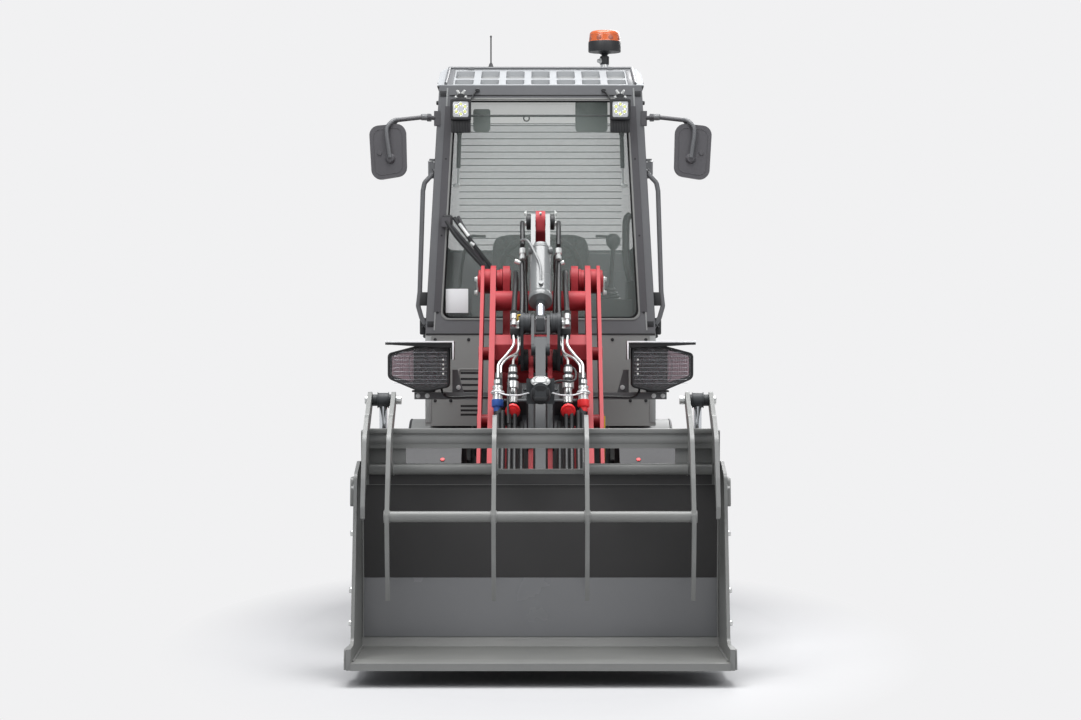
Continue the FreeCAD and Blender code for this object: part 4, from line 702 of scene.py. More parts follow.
FENDER = Finish("fender_moulding", "frame_anthracite", (46, 46, 48), 0.6, bump=0.25, grain=600.0, dust=0.03,
    wear=0.05)
# A lighter, glossier sheet on the bucket's lower back wall: painted highlight for the light it catches from
# above and from the floor.
PAINTED_FACE_HIGHLIGHT = Finish("bucket_face_painted_highlight", "bucket_grey", (124, 125, 127), 0.22, 0.35, coat=0.25, bump=0.03,
    dust=0.05, wear=0.0)
SMOKED = Finish("roof_pane_smoke", "glass", (120, 121, 121), 0.5, coat=0.1, bump=0.03, dust=0.02, wear=0.0)
BOWL = Finish("lamp_bowl", "chrome_rod", (96, 90, 95), 0.22, 0.05, 0.85, bump=0.03, dust=0.0, wear=0.0)
TAIL = Finish("tail_lens", "lamp_red", (170, 22, 24), 0.14, 0.05, coat=0.6, bump=0.02, dust=0.04)
YELLOW = Finish("yellow_moulding", "beacon_orange", (226, 186, 34), 0.4, dust=0.03, wear=0.0)
CAP_RED = Finish("red_cap", "lamp_red", (232, 42, 46), 0.42, bump=0.1, dust=0.03, wear=0.0)
CAP_BLUE = Finish("blue_cap", "black_plastic", (42, 84, 160), 0.42, bump=0.1, dust=0.03, wear=0.0)
REFLECTOR = Finish("lamp_reflector", "chrome_rod", (214, 216, 220), 0.14, 0.05, 0.9, bump=0.02, dust=0.0,
    wear=0.0)
LED = Finish("lamp_led", "roof_white", (246, 246, 240), 0.25, bump=0.02, dust=0.0, wear=0.0, glow=0.25)
AMBER = Finish("amber_lens", "beacon_orange", (232, 150, 60), 0.2, coat=0.5, bump=0.02, dust=0.02, wear=0.0)
MIRROR = Finish("mirror_face", "chrome_rod", (226, 230, 233), 0.03, 0.02, 1.0, bump=0.0, dust=0.01,
    wear=0.0)
GLASS = ClearFinish("cab_glazing", "glass", (170, 180, 175))
TINT = ClearFinish("tinted_film", "glass", (104, 107, 106), 0.05, 0.2)
LENS = ClearFinish("lamp_lens", "glass", (150, 150, 152), 0.08, 0.12, ripple=0.5, ripple_scale=90.0)
INDICATOR = Finish("indicator_lens", "roof_white", (150, 122, 130), 0.3, coat=0.3, bump=0.05, dust=0.0,
    wear=0.0)
LAMP_FACE = Finish("work_lamp_face", "roof_white", (186, 188, 190), 0.25, coat=0.3, bump=0.04, dust=0.0,
    wear=0.0)
CHIP = Finish("lamp_chip", "beacon_orange", (208, 212, 138), 0.3, bump=0.02, dust=0.0, wear=0.0, glow=0.1)
# Light grey strips along the edges of the front pillars and the cab's lower corners: painted highlight.
PAINTED_PILLAR_HIGHLIGHT = Finish("pillar_painted_highlight", "cab_panel", (146, 148, 147), 0.32, bump=0.04, dust=0.05)
SEAL = Finish("seal_rubber", "black_plastic", (24, 25, 26), 0.6, bump=0.1, grain=800.0, dust=0.04, wear=0.0)
HEATER = Finish("heater_line", "black_plastic", (120, 122, 122), 0.5, bump=0.05, dust=0.0, wear=0.0)
SHADE = Finish("visor_film", "black_plastic", (104, 112, 106), 0.45, bump=0.05, dust=0.0, wear=0.0)

NODE_FINISHES: dict[object, list[str]] = {
    RED: ["tower", "loader_arm"],
    HOOD_RED: ["hood"],
    FRAME: ["rear_frame", "rear_axle", "front_axle", "front_frame", "lamp_bar", "side_steps"],
    FENDER: ["front_fenders"],
    PANEL: ["cab_base"],
    CAB: ["cab_frame", "door_left", "door_right"],
    BUCKET: ["bucket", "grapple"],
    LINKAGE: ["quick_hitch", "tilt_lever", "push_link", "hydraulic_couplers"],
    CASTING: ["counterweight", "engine_block"],
    BARREL: ["tilt_barrel", "lift_barrel", "steer_barrel", "grapple_barrels"],
    CHROME: ["tilt_rod", "lift_rod", "steer_rod", "grapple_rods"],
    ROOF: ["cab_roof"],
    GLASS: ["cab_glass", "door_glass_left", "door_glass_right"],
    SEAT: ["seat_cushions"],
    BLACK: ["seat_base", "controls", "steering_wheel", "work_lamps", "roof_antenna", "headlamps"],
    MOULDING: ["mirrors", "wiper"],
    RAIL: ["handrails"],
    BEACON: ["roof_beacon"],
    TAIL: ["rear_lamps"],
    TYRE: ["tyre_front_left", "tyre_front_right", "tyre_rear_left", "tyre_rear_right"],
    RIM: ["rim_front_left", "rim_front_right", "rim_rear_left", "rim_rear_right"],
}


@dataclass
class Assembly:
    """What every sub-assembly shares: adding a finished piece to the scene."""

    home: str = "rear_chassis"

    def add(self, name: str, form: Shape | bpy.types.Mesh, finish: Finish | ClearFinish, body: str = "",
            replaces: tuple[str, ...] = ()) -> bpy.types.Object:
        """Adds a piece that rides on a body.

        Args:
            name: the piece's name.
            form: its shape or its mesh.
            finish: its finish.
            body: the body that it moves with, if it isn't the sub-assembly's own.
            replaces: the nodes that it stands for.

        Returns:
            The piece's object.
        """
        data = form.mesh(name) if isinstance(form, Shape) else form
        data.materials.clear()
        data.materials.append(finish.material())
        data.shade_smooth()
        data.set_sharp_from_angle(angle=0.62)
        piece = bpy.data.objects.new(name, data)
        bpy.context.scene.collection.objects.link(piece)
        body = body or self.home
        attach(piece, body)
        if replaces:
            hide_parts(*replaces)
        LOG.info("%s rides on %s", name, body)
        return piece

    def pair(self, name: str, form: Shape, finish: Finish | ClearFinish, body: str = "",
            replaces: tuple[str, ...] = ()) -> bpy.types.Object:
        """Adds a shape and its mirror image as one piece, in the way that add does."""
        return self.add(name, form.mirrored(), finish, body, replaces)


@dataclass
class Wheels(Assembly):
    """The four wheels: tread blocks, wheel nuts and valves."""

    radius: float = 0.39
    track: float = 0.435
    half_width: float = 0.1275
    blocks: int = 22
    corners: dict[str, Point] = field(default_factory=lambda: {"front_left": (-1, -0.49),
        "front_right": (1, -0.49), "rear_left": (-1, 0.89), "rear_right": (1, 0.89)})

    def tyre(self, name: str, side: float, y: float) -> None:
        """Builds a tyre: a carcass with moulded rings and two staggered rows of tread blocks."""
        half, crown = self.half_width, self.radius - 0.014
        inner = [(0.196, -0.104), (0.208, -0.1045), (0.222, -half + 0.012), (0.246, -half + 0.003),
            (0.3, -half), (0.306, -half - 0.0015), (0.312, -half), (0.345, -half + 0.004),
            (crown - 0.016, -half + 0.014), (crown, -half + 0.042)]
        profile = inner + [(radius, -width) for radius, width in reversed(inner)]
        carcass = Shape().turned(profile, (side * self.track, y, self.radius), (1, 0, 0), 72)
        body = "wheel_" + name
        self.add("tyre_" + name + "_dressed", carcass, TYRE, body, ("tyre_" + name,))
        step = 2 * math.pi / self.blocks
        centre = (side * self.track, y, self.radius)
        rows = {"outer": (0.052, 0.0), "inner": (-0.052, 0.5), "middle": (0.0, 0.25)}
        for row, (x, phase) in rows.items():
            slant = 0.012 if row != "inner" else -0.012
            long = self.radius * step * (0.62 if row != "middle" else 0.4)
            wide = 0.036 if row != "middle" else 0.012
            flat = [(x - wide, -long / 2 - slant, 0.006), (x + wide, -long / 2 + slant, 0.006),
                (x + wide, long / 2 + slant, 0.006), (x - wide, long / 2 - slant, 0.006)]
            block = Shape().prism(flat, Axis.Z, crown - 0.004, self.radius - 0.0012, 0.0025, 2)
            data = copies(block, Spread.ROUND, self.blocks, (step, 0, 0), TYRE, centre,
                (phase * step, 0, 0))
            self.add("tread_" + row + "_" + name, data, TYRE, body)
        for row, sign in (("outside", 1), ("inside", -1)):
            edge = half - 0.044
            flat = [(sign * edge, self.radius - 0.0015), (sign * (half - 0.012), crown - 0.006),
                (sign * (half + 0.0005), 0.346), (sign * (half - 0.01), 0.344),
                (sign * edge, crown - 0.008)]
            block = Shape().prism(flat, Axis.Y, -0.024, 0.024, 0.002)
            data = copies(block, Spread.ROUND, self.blocks, (step, 0, 0), TYRE, centre,
                ((0.0 if sign > 0 else 0.5) * step, 0, 0))
            self.add("shoulder_" + row + "_" + name, data, TYRE, body)

    def nuts(self, name: str, side: float, y: float) -> None:
        """Adds the wheel nuts and the valve."""
        face = 0.03 + 0.014
        nut = Shape().hexagon((side * face, 0, 0.068), (side, 0, 0), 0.022, 0.016)
        centre = (side * self.track, y, self.radius)
        data = copies(nut, Spread.ROUND, 6, (math.pi / 3, 0, 0), ZINC, centre)
        self.add("wheel_nuts_" + name, data, ZINC, "wheel_" + name)
        x = side * (self.track + 0.045)
        valve = Shape().tube([(x - side * 0.03, y, self.radius + 0.176), (x, y, self.radius + 0.172),
            (x + side * 0.03, y, self.radius + 0.165)], 0.004)
        self.add("valve_" + name, valve, HOSE, "wheel_" + name)

    def build(self) -> None:
        """Builds all four wheels."""
        for name, (side, y) in self.corners.items():
            self.tyre(name, side, y)
            self.nuts(name, side, y)


@dataclass
class Studio:
    """The camera, the floor, the backdrop and the lamps."""

    lens: float = 89.3
    stand: float = -10.93
    height: float = 1.1
    pale: Point = (241, 241, 242)
    floor_tone: Point = (184, 184, 185)
    floor_size: float = 60.0
    shadow_squash: Point = (1.0, 0.44, 0.0)
    shadow_reach: Point = (1.0, 1.5)
    sky: Point = (0.9, 0.93, 1.0, 1.0)
    sky_strength: float = 0.42
    lamps: tuple[tuple[str, Point, Point, float, float], ...] = (
        ("key_lamp", (-4.5, -6.5, 6.0), (0, -0.5, 1.0), 4.0, 215),
        ("fill_lamp", (5.0, -6.0, 4.0), (0, -0.5, 1.0), 4.0, 135),
        ("top_lamp", (0, -1.0, 6.5), (0, -0.8, 1.0), 5.0, 600),
        ("rear_lamp", (2.5, 7.0, 5.0), (0, 0.5, 1.0), 4.0, 260))

    def camera(self) -> None:
        """Adds a level camera in front of the bucket."""
        data = bpy.data.cameras.new("camera")
        data.lens = self.lens
        data.sensor_width = 36.0
        data.clip_end = 200.0
        camera = bpy.data.objects.new("camera", data)
        camera.location = (0.0, self.stand, self.height)
        camera.rotation_euler = (math.pi / 2, 0.0, 0.0)
        bpy.context.scene.collection.objects.link(camera)
        bpy.context.scene.camera = camera

    def floor(self) -> None:
        """Adds a pale floor that keeps a soft shadow near the machine."""
        half = self.floor_size / 2
        data = bpy.data.meshes.new("floor")
        data.from_pydata([(-half, -half, 0), (half, -half, 0), (half, half, 0), (-half, half, 0)], [],
            [(0, 1, 2, 3)])
        material = bpy.data.materials.new("studio_floor")
        material.use_nodes = True
        tree = material.node_tree
        make = tree.nodes.new
        shader, output = tree.nodes["Principled BSDF"], tree.nodes["Material Output"]
        preset(shader, {"Base Color": linear(self.floor_tone), "Roughness": 0.7})
        glow, mixer, spot, reach = (make(n) for n in ("ShaderNodeEmission", "ShaderNodeMixShader",
            "ShaderNodeTexCoord", "ShaderNodeVectorMath"))
        path, seen, away = make("ShaderNodeLightPath"), make("ShaderNodeMath"), make("ShaderNodeMapRange")
        glow.inputs["Color"].default_value = linear(self.pale)
        squash = maths(tree, "MULTIPLY", "ShaderNodeVectorMath")
        squash.inputs[1].default_value = self.shadow_squash
        reach.operation = "LENGTH"
        wire(tree, (spot, "Object", squash, 0), (squash, 0, reach, 0), (reach, "Value", away, "Value"))
        preset(away, {"From Min": self.shadow_reach[0], "From Max": self.shadow_reach[1]})
        seen.operation = "MAXIMUM"
        wire(tree, (path, "Is Camera Ray", seen, 0), (path, "Is Glossy Ray", seen, 1))
        both = maths(tree, "MULTIPLY")
        wire(tree, (seen, 0, both, 0), (away, 0, both, 1), (both, 0, mixer, "Fac"), (shader, 0, mixer, 1),
            (glow, 0, mixer, 2), (mixer, 0, output, "Surface"))
        data.materials.append(material)
        floor = bpy.data.objects.new("floor", data)
        bpy.context.scene.collection.objects.link(floor)

    def world(self) -> None:
        """Sets a pale world that the camera and shiny surfaces see as the backdrop."""
        world = bpy.data.worlds.new("studio")
        world.use_nodes = True
        bpy.context.scene.world = world
        tree = world.node_tree
        make = tree.nodes.new
        lamp, output = tree.nodes["Background"], tree.nodes["World Output"]
        preset(lamp, {"Color": self.sky, "Strength": self.sky_strength})
        plain, mixer, path, seen = (make(n) for n in ("ShaderNodeBackground", "ShaderNodeMixShader",
            "ShaderNodeLightPath", "ShaderNodeMath"))
        plain.inputs["Color"].default_value = linear(self.pale)
        seen.operation = "MAXIMUM"
        wire(tree, (path, "Is Camera Ray", seen, 0), (path, "Is Transmission Ray", seen, 1),
            (seen, 0, mixer, "Fac"), (lamp, 0, mixer, 1), (plain, 0, mixer, 2),
            (mixer, 0, output, "Surface"))

    def lamp(self, name: str, place: Point, aim: Point, size: float, power: float) -> None:
        """Adds a soft square lamp that points at a spot."""
        data = bpy.data.lights.new(name, "AREA")
        data.size = size
        data.energy = power
        lamp = bpy.data.objects.new(name, data)
        lamp.location = place
        lamp.rotation_euler = (Vector(aim) - Vector(place)).to_track_quat("-Z", "Y").to_euler()
        bpy.context.scene.collection.objects.link(lamp)

    def build(self) -> None:
        """Builds the studio."""
        self.camera()
        self.floor()
        self.world()
        for lamp in self.lamps:
            self.lamp(*lamp)


@dataclass
class BucketDress(Assembly):
    """The bucket's side plates, bolts, weld seams, wear edge and top rail, with a dark sheet of painted shade
    on its upper back wall and a lighter, glossier sheet of painted highlight on its lower back wall.
    """

    home: str = "bucket"
    half: float = 0.65
    lip: float = -1.93
    back: float = -1.32

    def build(self) -> None:
        """Builds the bucket's small parts."""
        half = self.half
        plates = Shape()
        plates.prism([(-1.6, 0.59, 0.01), (-1.585, 0.69, 0.02), (-1.47, 0.69, 0.02), (-1.44, 0.59, 0.01)],
            Axis.X, half, half + 0.013, 0.002)
        plates.prism([(-1.922, 0.058, 0.004), (-1.72, 0.058, 0.03), (-1.7, 0.118, 0.02),
            (-1.9, 0.127, 0.01)], Axis.X, half + 0.004, half + 0.012, 0.0015)
        self.pair("bucket_side_plates", plates, BUCKET)
        bolts = Shape()
        for y, z in ((-1.6, 0.655), (-1.632, 0.498), (-1.688, 0.305), (-1.724, 0.195), (-1.8, 0.11)):
            bolts.hexagon((half - 0.001, y + 0.018, z), (1, 0, 0), 0.017, 0.012)
        self.pair("bucket_side_bolts", bolts, ZINC)
        seams = Shape()
        inside = half - 0.013
        seams.tube([(inside - 0.002, -1.86, 0.08), (inside - 0.002, -1.38, 0.08)], 0.004, 8, 1)
        seams.tube([(inside - 0.002, -1.345, 0.11), (inside - 0.002, -1.331, 0.318),
            (inside - 0.002, -1.366, 0.652)], 0.004, 8, 1)
        self.pair("bucket_weld_seams", seams, BUCKET)
        edge = Shape().box((-half + 0.02, self.lip + 0.0004, 0.0575),
            (half - 0.02, self.lip + 0.135, 0.0815), 0.002)
        self.add("bucket_wear_edge", edge, BUCKET)
        # A dark sheet over the upper back wall and the strip under the top rail: painted shade.
        shade = Shape().prism([(-1.3212, 0.3215), (-1.3224, 0.3215), (-1.3644, 0.6545), (-1.3632, 0.6545)],
            Axis.X, -inside + 0.003, inside - 0.003)
        shade.box((-0.61, -1.3795, 0.657), (0.61, -1.3786, 0.693), 0.0)
        self.add("bucket_back_painted_shade", shade, PAINTED_BACK_SHADE)
        # A lighter, glossier sheet on the lower back wall: painted highlight.
        face = Shape().box((-inside + 0.003, self.back - 0.0018, 0.11),
            (inside - 0.003, self.back - 0.0006, 0.3205), 0.0)
        self.add("bucket_face_painted_highlight", face, PAINTED_FACE_HIGHLIGHT)
        rail = Shape().prism([(-1.381, 0.694), (-1.375, 0.7105), (-1.348, 0.7105), (-1.343, 0.694)], Axis.X,
            -half + 0.014, half - 0.014, 0.003)
        self.add("bucket_top_rail", rail, BUCKET)


@dataclass
class GrappleDress(Assembly):
    """The claw's tube, end plates, weld rings, pins, cylinder heads and hoses."""

    home: str = "grapple"
    pivot: Point = (-1.405, 0.713)
    eye: Point = (-1.25, 0.955)
    base: Point = (-1.225, 0.25)
    line: float = 0.5675

    def build(self) -> None:
        """Builds the claw's small parts."""
        y, z = self.pivot
        tube = Shape()
        tube.rod((-0.617, y + 0.002, 0.818), (0.617, y + 0.002, 0.818), 0.029, 24)
        tube.box((-0.618, y - 0.03, 0.84), (0.618, y + 0.034, 0.8565), 0.002)
        self.add("claw_beam_tube", tube, BUCKET)
        ends = Shape()
        ends.prism([(y - 0.024, z - 0.022, 0.02), (y + 0.03, z - 0.022, 0.02), (y + 0.036, 0.852, 0.01),
            (y - 0.034, 0.852, 0.01)], Axis.X, 0.6215, 0.6355, 0.0015)
        ends.turned([(0.026, 0.0), (0.026, 0.006), (0.012, 0.008)], (0.6355 - 0.012, y, z), (-1, 0, 0), 20)
        self.pair("claw_end_plates", ends, BUCKET)
        lugs = Shape().box((0.478, y - 0.004, z + 0.018), (0.618, y + 0.004, 0.789), 0.0015)
        self.pair("claw_lug_plates", lugs, BUCKET)
        rings = Shape()
        for x in (0.162, 0.53):
            for side in (-1, 1):
                rings.torus((x + side * 0.0085, y, z), (1, 0, 0), 0.0205, 0.003, 24, 6)
                rings.torus((x + side * 0.0085, -1.676, 0.559), (1, 0, 0), 0.0195, 0.003, 24, 6)
        self.pair("claw_weld_rings", rings, BUCKET)
        ey, ez = self.eye
        pins = Shape()
        for x0, x1 in ((0.502, 0.522), (0.538, 0.549), (0.586, 0.607), (0.623, 0.634)):
            pins.turned([(0.015, 0.0), (0.015, x1 - x0 - 0.002), (0.013, x1 - x0)], (x0, ey, ez), (1, 0, 0),
                24)
        self.pair("claw_cylinder_pins", pins, ZINC)
        spacers = Shape()
        spacers.rod((0.5385, ey, ez), (0.549, ey, ez), 0.021, 24, 0.001)
        spacers.rod((0.586, ey, ez), (0.6065, ey, ez), 0.021, 24, 0.001)
        self.pair("claw_spacers", spacers, LINKAGE)
        heads = Shape()
        heads.rod((self.line - 0.019, ey, ez), (self.line + 0.019, ey, ez), 0.0262, 28, 0.002)
        heads.rod((self.line - 0.0205, ey, ez), (self.line - 0.0185, ey, ez), 0.029, 28)
        heads.rod((self.line + 0.0185, ey, ez), (self.line + 0.0205, ey, ez), 0.029, 28)
        self.pair("claw_rod_heads", heads, LINKAGE, "grapple_rods")
        glands = Shape()
        by, bz = self.base
        along = Vector((0, ey - by, ez - bz)).normalized()
        top = Vector((self.line, by, bz)) + along * 0.376
        glands.turned([(0.0265, 0.0), (0.0265, 0.024), (0.0245, 0.0295), (0.0155, 0.0295)], tuple(top),
            tuple(along), 24)
        for s in (0.05, 0.33):
            spot = Vector((self.line, by, bz)) + along * s
            glands.box((spot.x - 0.01, spot.y + 0.014, spot.z - 0.012),
                (spot.x + 0.01, spot.y + 0.04, spot.z + 0.012))
        self.pair("claw_glands", glands, BARREL, "grapple_barrels")
        hoses = Shape()
        for s, dx in ((0.05, -0.02), (0.33, 0.02)):
            spot = Vector((self.line, by + 0.036, bz)) + along * s
            hoses.tube([tuple(spot), (spot.x - 0.02, spot.y + 0.04, spot.z + 0.004),
                (spot.x - 0.07 + dx, spot.y + 0.055, spot.z - 0.03), (0.42, by + 0.03, 0.45),
                (0.3, by, 0.5)], 0.007, 10)
        self.pair("claw_hoses", hoses, HOSE, "bucket")


@dataclass
class ArmDress(Assembly):
    """Pins, hoses, steel pipes, quick couplings and the socket on the loader arm."""

    home: str = "arm"
    pivot: Point = (-0.03, 1.42)
    tip: Point = (-1.21, 0.28)
    outside: float = 0.241
    bulk: float = 1.22

    def along(self, s: float, h: float) -> tuple[float, float]:
        """The (y, z) point at s along the arm from its pivot and h above its centre line."""
        ahead = (Vector(self.tip) - Vector(self.pivot)).normalized()
        spot = Vector(self.pivot) + ahead * s + Vector((ahead.y, -ahead.x)) * h
        return spot.x, spot.y

    def pins(self) -> None:
        """Adds the pivot pins' bosses, keepers and bolts, and the grease nipples."""
        y, z = self.pivot
        bosses = Shape().turned([(0.046, 0.0), (0.046, 0.008), (0.043, 0.011), (0.027, 0.011)],
            (self.outside, y, z), (1, 0, 0), 32)
        ty, tz = self.tip
        bosses.turned([(0.04, 0.0), (0.04, 0.006), (0.023, 0.006)], (self.outside, ty, tz), (1, 0, 0), 32)
        for s in (0.425, 0.8, 1.18):
            py, pz = self.along(s, 0.0)
            bosses.turned([(0.03, 0.0), (0.028, 0.004), (0.0, 0.004)], (self.outside - 0.0005, py, pz),
                (1, 0, 0), 24)
        self.pair("arm_pin_bosses", bosses, RED)
        keepers = Shape()
        keepers.box((0.2552, y - 0.02, z - 0.056), (0.2585, y + 0.02, z + 0.02), 0.001)
        keepers.hexagon((0.2585, y, z - 0.046), (1, 0, 0), 0.015, 0.01)
        keepers.hexagon((0.2585, y, z + 0.008), (1, 0, 0), 0.015, 0.01)
        keepers.turned([(0.005, 0.0), (0.004, 0.008), (0.005, 0.011), (0.0, 0.013)], (0.0, -0.1045, 1.688),
            (0, -1, 0.4), 12)
        self.pair("arm_pin_keepers", keepers, ZINC)

    def hoses(self) -> None:
        """Adds the hoses down both sides of the tilt cylinder and on to the bucket."""
        hoses = Shape()
        hoses.tube([(0.074, 0.015, 1.455), (0.074, 0.0, 1.6), (0.074, -0.06, 1.655), (0.073, -0.13, 1.625),
            (0.072, -0.185, 1.56)], 0.0095)
        hoses.tube([(0.074, -0.205, 1.49), (0.073, -0.26, 1.43), (0.072, -0.35, 1.342),
            (0.074, -0.42, 1.262)], 0.0095)
        hoses.tube([(0.06, 0.02, 1.46), (0.06, -0.04, 1.52), (0.064, -0.16, 1.482), (0.058, -0.3, 1.352),
            (0.056, -0.38, 1.262)], 0.0085)
        hoses.tube([(0.1, 0.01, 1.38), (0.099, -0.08, 1.452), (0.098, -0.2, 1.418), (0.102, -0.33, 1.345),
            (0.104, -0.43, 1.288)], 0.0105)
        self.pair("arm_upper_hoses", hoses, HOSE)
        lower = Shape()
        for x, reach, width in ((0.162, 1.16, 0.01), (0.144, 1.12, 0.01), (0.118, 1.2, 0.009),
                (0.098, 1.22, 0.009), (0.072, 1.24, 0.009)):
            start = self.along(0.86, 0.115 if x > 0.09 else 0.05)
            spots = [(x, *start)]
            for s, h in ((0.95, 0.085), (1.08, 0.078), (reach + 0.06, 0.074), (reach + 0.17, 0.06)):
                spots.append((x, *self.along(s, h)))
            lower.tube(spots, width)
        self.pair("arm_lower_hoses", lower, HOSE)

    def pipes(self) -> None:
        """Adds the bent steel pipes, their ferrules and the clamps."""
        pipes = Shape()
        pipes.tube([(0.105, -0.465, 1.215), (0.105, -0.485, 1.19), (0.106, -0.53, 1.155),
            (0.135, -0.585, 1.115), (0.16, -0.632, 1.085), (0.163, -0.665, 1.055), (0.163, -0.69, 1.024)],
            0.0055, 10)
        pipes.tube([(0.088, -0.47, 1.205), (0.086, -0.5, 1.16), (0.092, -0.53, 1.128),
            (0.128, -0.58, 1.106), (0.15, -0.62, 1.08), (0.153, -0.655, 1.05)], 0.005, 10)
        pipes.tube([(0.078, -0.46, 1.2), (0.0795, -0.49, 1.165), (0.092, -0.53, 1.12), (0.104, -0.6, 1.1),
            (0.105, -0.655, 1.072)], 0.005, 10)
        for x, y, z in ((0.104, -0.442, 1.279), (0.072, -0.193, 1.545), (0.085, -0.43, 1.262)):
            pipes.turned([(0.0135, 0.0), (0.0135, 0.022), (0.01, 0.024), (0.01, 0.032), (0.0125, 0.034),
                (0.0125, 0.048)], (x, y, z), (0, -0.42, -0.9), 6 if x > 0.09 else 8)
        self.pair("arm_steel_pipes", pipes, ZINC)
        tees = Shape()
        tees.tube([(-0.103, -0.205, 1.497), (-0.09, -0.206, 1.492), (-0.078, -0.207, 1.488)], 0.009)
        tees.tube([(0.094, -0.205, 1.492), (0.08, -0.206, 1.486), (0.07, -0.207, 1.48)], 0.009)
        self.add("barrel_tees", tees, ZINC, "tilt_barrel")
        clamp = Shape().box((0.076, -0.486, 1.198), (0.118, -0.452, 1.224), 0.003)
        clamp.box((0.092, -0.478, 1.182), (0.116, -0.448, 1.199), 0.002)
        self.pair("arm_pipe_clamps", clamp, BLACK)
        clip = Shape().tube([(-0.088, -0.44, 1.235), (-0.088, -0.455, 1.275), (-0.06, -0.455, 1.277)],
            0.0035, 8, 1)
        self.add("arm_yellow_clip", clip, YELLOW)

    def couplings(self) -> None:
        """Adds the quick couplings with their caps, and the cords that keep the caps."""
        down = (0, -0.28, -0.96)
        bodies = Shape()
        outer = [(0.008, 0.0), (0.008, 0.006), (0.0125, 0.008), (0.0125, 0.022), (0.0105, 0.024),
            (0.0105, 0.03), (0.016, 0.032), (0.016, 0.04), (0.0135, 0.042), (0.0135, 0.047),
            (0.0185, 0.049), (0.0185, 0.066), (0.0155, 0.068), (0.0155, 0.08), (0.017, 0.082),
            (0.017, 0.088), (0.0, 0.088)]
        bodies.turned([(r * self.bulk, h) for r, h in outer], (0.1635, -0.69, 1.03), down, 24)
        inner = [(0.009, 0.0), (0.009, 0.008), (0.0135, 0.01), (0.0135, 0.028), (0.0105, 0.03),
            (0.0105, 0.04), (0.0165, 0.042), (0.0165, 0.052), (0.0115, 0.054), (0.0115, 0.064),
            (0.0185, 0.067), (0.0185, 0.092), (0.0125, 0.094), (0.0125, 0.12), (0.016, 0.122),
            (0.016, 0.15), (0.009, 0.152), (0.009, 0.172), (0.0, 0.172)]
        bodies.turned([(r * self.bulk, h) for r, h in inner], (0.1055, -0.652, 1.08), down, 24)
        bodies.turned([(0.008, 0.0), (0.011, 0.002), (0.011, 0.012), (0.008, 0.014), (0.008, 0.026)],
            (0.1055, -0.722, 0.872), down, 16)
        self.pair("quick_coupling_bodies", bodies, ZINC)
        cap = [(0.0185, 0.0), (0.0228, 0.001), (0.0228, 0.024), (0.0205, 0.028), (0.016, 0.03),
            (0.014, 0.046), (0.0, 0.048)]
        blue = Shape().turned(cap, (-0.1635, -0.7145, 0.9475), down, 28)
        self.add("coupling_cap_blue", blue, CAP_BLUE)
        red = Shape().turned(cap, (0.1635, -0.7145, 0.9475), down, 28)
        face = [(0.0, 0.0), (0.026, 0.0), (0.029, 0.003), (0.029, 0.012), (0.026, 0.016), (0.0, 0.017)]
        for x in (-0.1055, 0.1055):
            red.turned(face, (x, -0.724, 0.908), (0, -0.97, -0.24), 12)
            red.hexagon((x, -0.74, 0.904), (0, -0.97, -0.24), 0.03, 0.004)
        self.add("coupling_caps_red", red, CAP_RED)
        cords = Shape()
        for side in (-1, 1):
            cords.tube([(side * 0.044, -0.93, 0.977), (side * 0.08, -0.86, 0.968),
                (side * 0.12, -0.785, 0.967), (side * 0.152, -0.738, 0.974),
                (side * 0.1635, -0.7265, 0.978)], 0.0028, 8)
            cords.torus((side * 0.1635, -0.707, 0.975), down, 0.024, 0.0026, 28, 8)
        self.add("cap_cords", cords, WHITE)

    def socket(self) -> None:
        """Adds the trailer socket with its lid, flange and cable."""
        front, high = -0.913, 0.981
        flange = Shape().turned([(0.02, 0.0), (0.034, 0.001), (0.037, 0.004), (0.037, 0.009),
            (0.033, 0.012), (0.026, 0.012)], (0.0, front - 0.001, high + 0.034), (0, -0.45, 0.89), 32)
        flange.box((-0.03, front - 0.03, high + 0.03), (0.03, front - 0.004, high + 0.04), 0.003)
        flange.turned([(0.0, 0.0), (0.022, 0.0), (0.025, 0.004), (0.012, 0.012), (0.0, 0.013)],
            (0.0, front - 0.006, high + 0.044), (0, -0.45, 0.89), 24)
        self.add("socket_flange", flange, ZINC)
        body = Shape().turned([(0.0, 0.0), (0.035, 0.0), (0.035, 0.02), (0.0375, 0.022), (0.0375, 0.044),
            (0.034, 0.0505), (0.015, 0.052), (0.013, 0.05), (0.0, 0.05)],
            (0.0, front + 0.006, high - 0.004), (0, -1, -0.12), 36)
        for k in (-1, 1):
            body.box((k * 0.028 - 0.006, front - 0.05, high - 0.016),
                (k * 0.028 + 0.006, front - 0.012, high + 0.012), 0.002)
        body.box((-0.022, front - 0.052, high - 0.036), (0.022, front - 0.04, high - 0.018), 0.003)
        self.add("socket_body", body, BLACK)
        cable = Shape().tube([(0.034, -0.895, 1.01), (0.07, -0.85, 1.022), (0.112, -0.77, 1.018),
            (0.134, -0.7, 1.03), (0.132, -0.64, 1.062), (0.112, -0.6, 1.072), (0.1, -0.54, 1.05)], 0.0045,
            10)
        cable.tube([(-0.1, -0.55, 1.05), (-0.118, -0.62, 1.055), (-0.122, -0.68, 1.02),
            (-0.124, -0.74, 0.93), (-0.122, -0.78, 0.86)], 0.005, 10)
        self.add("socket_cable", cable, HOSE)

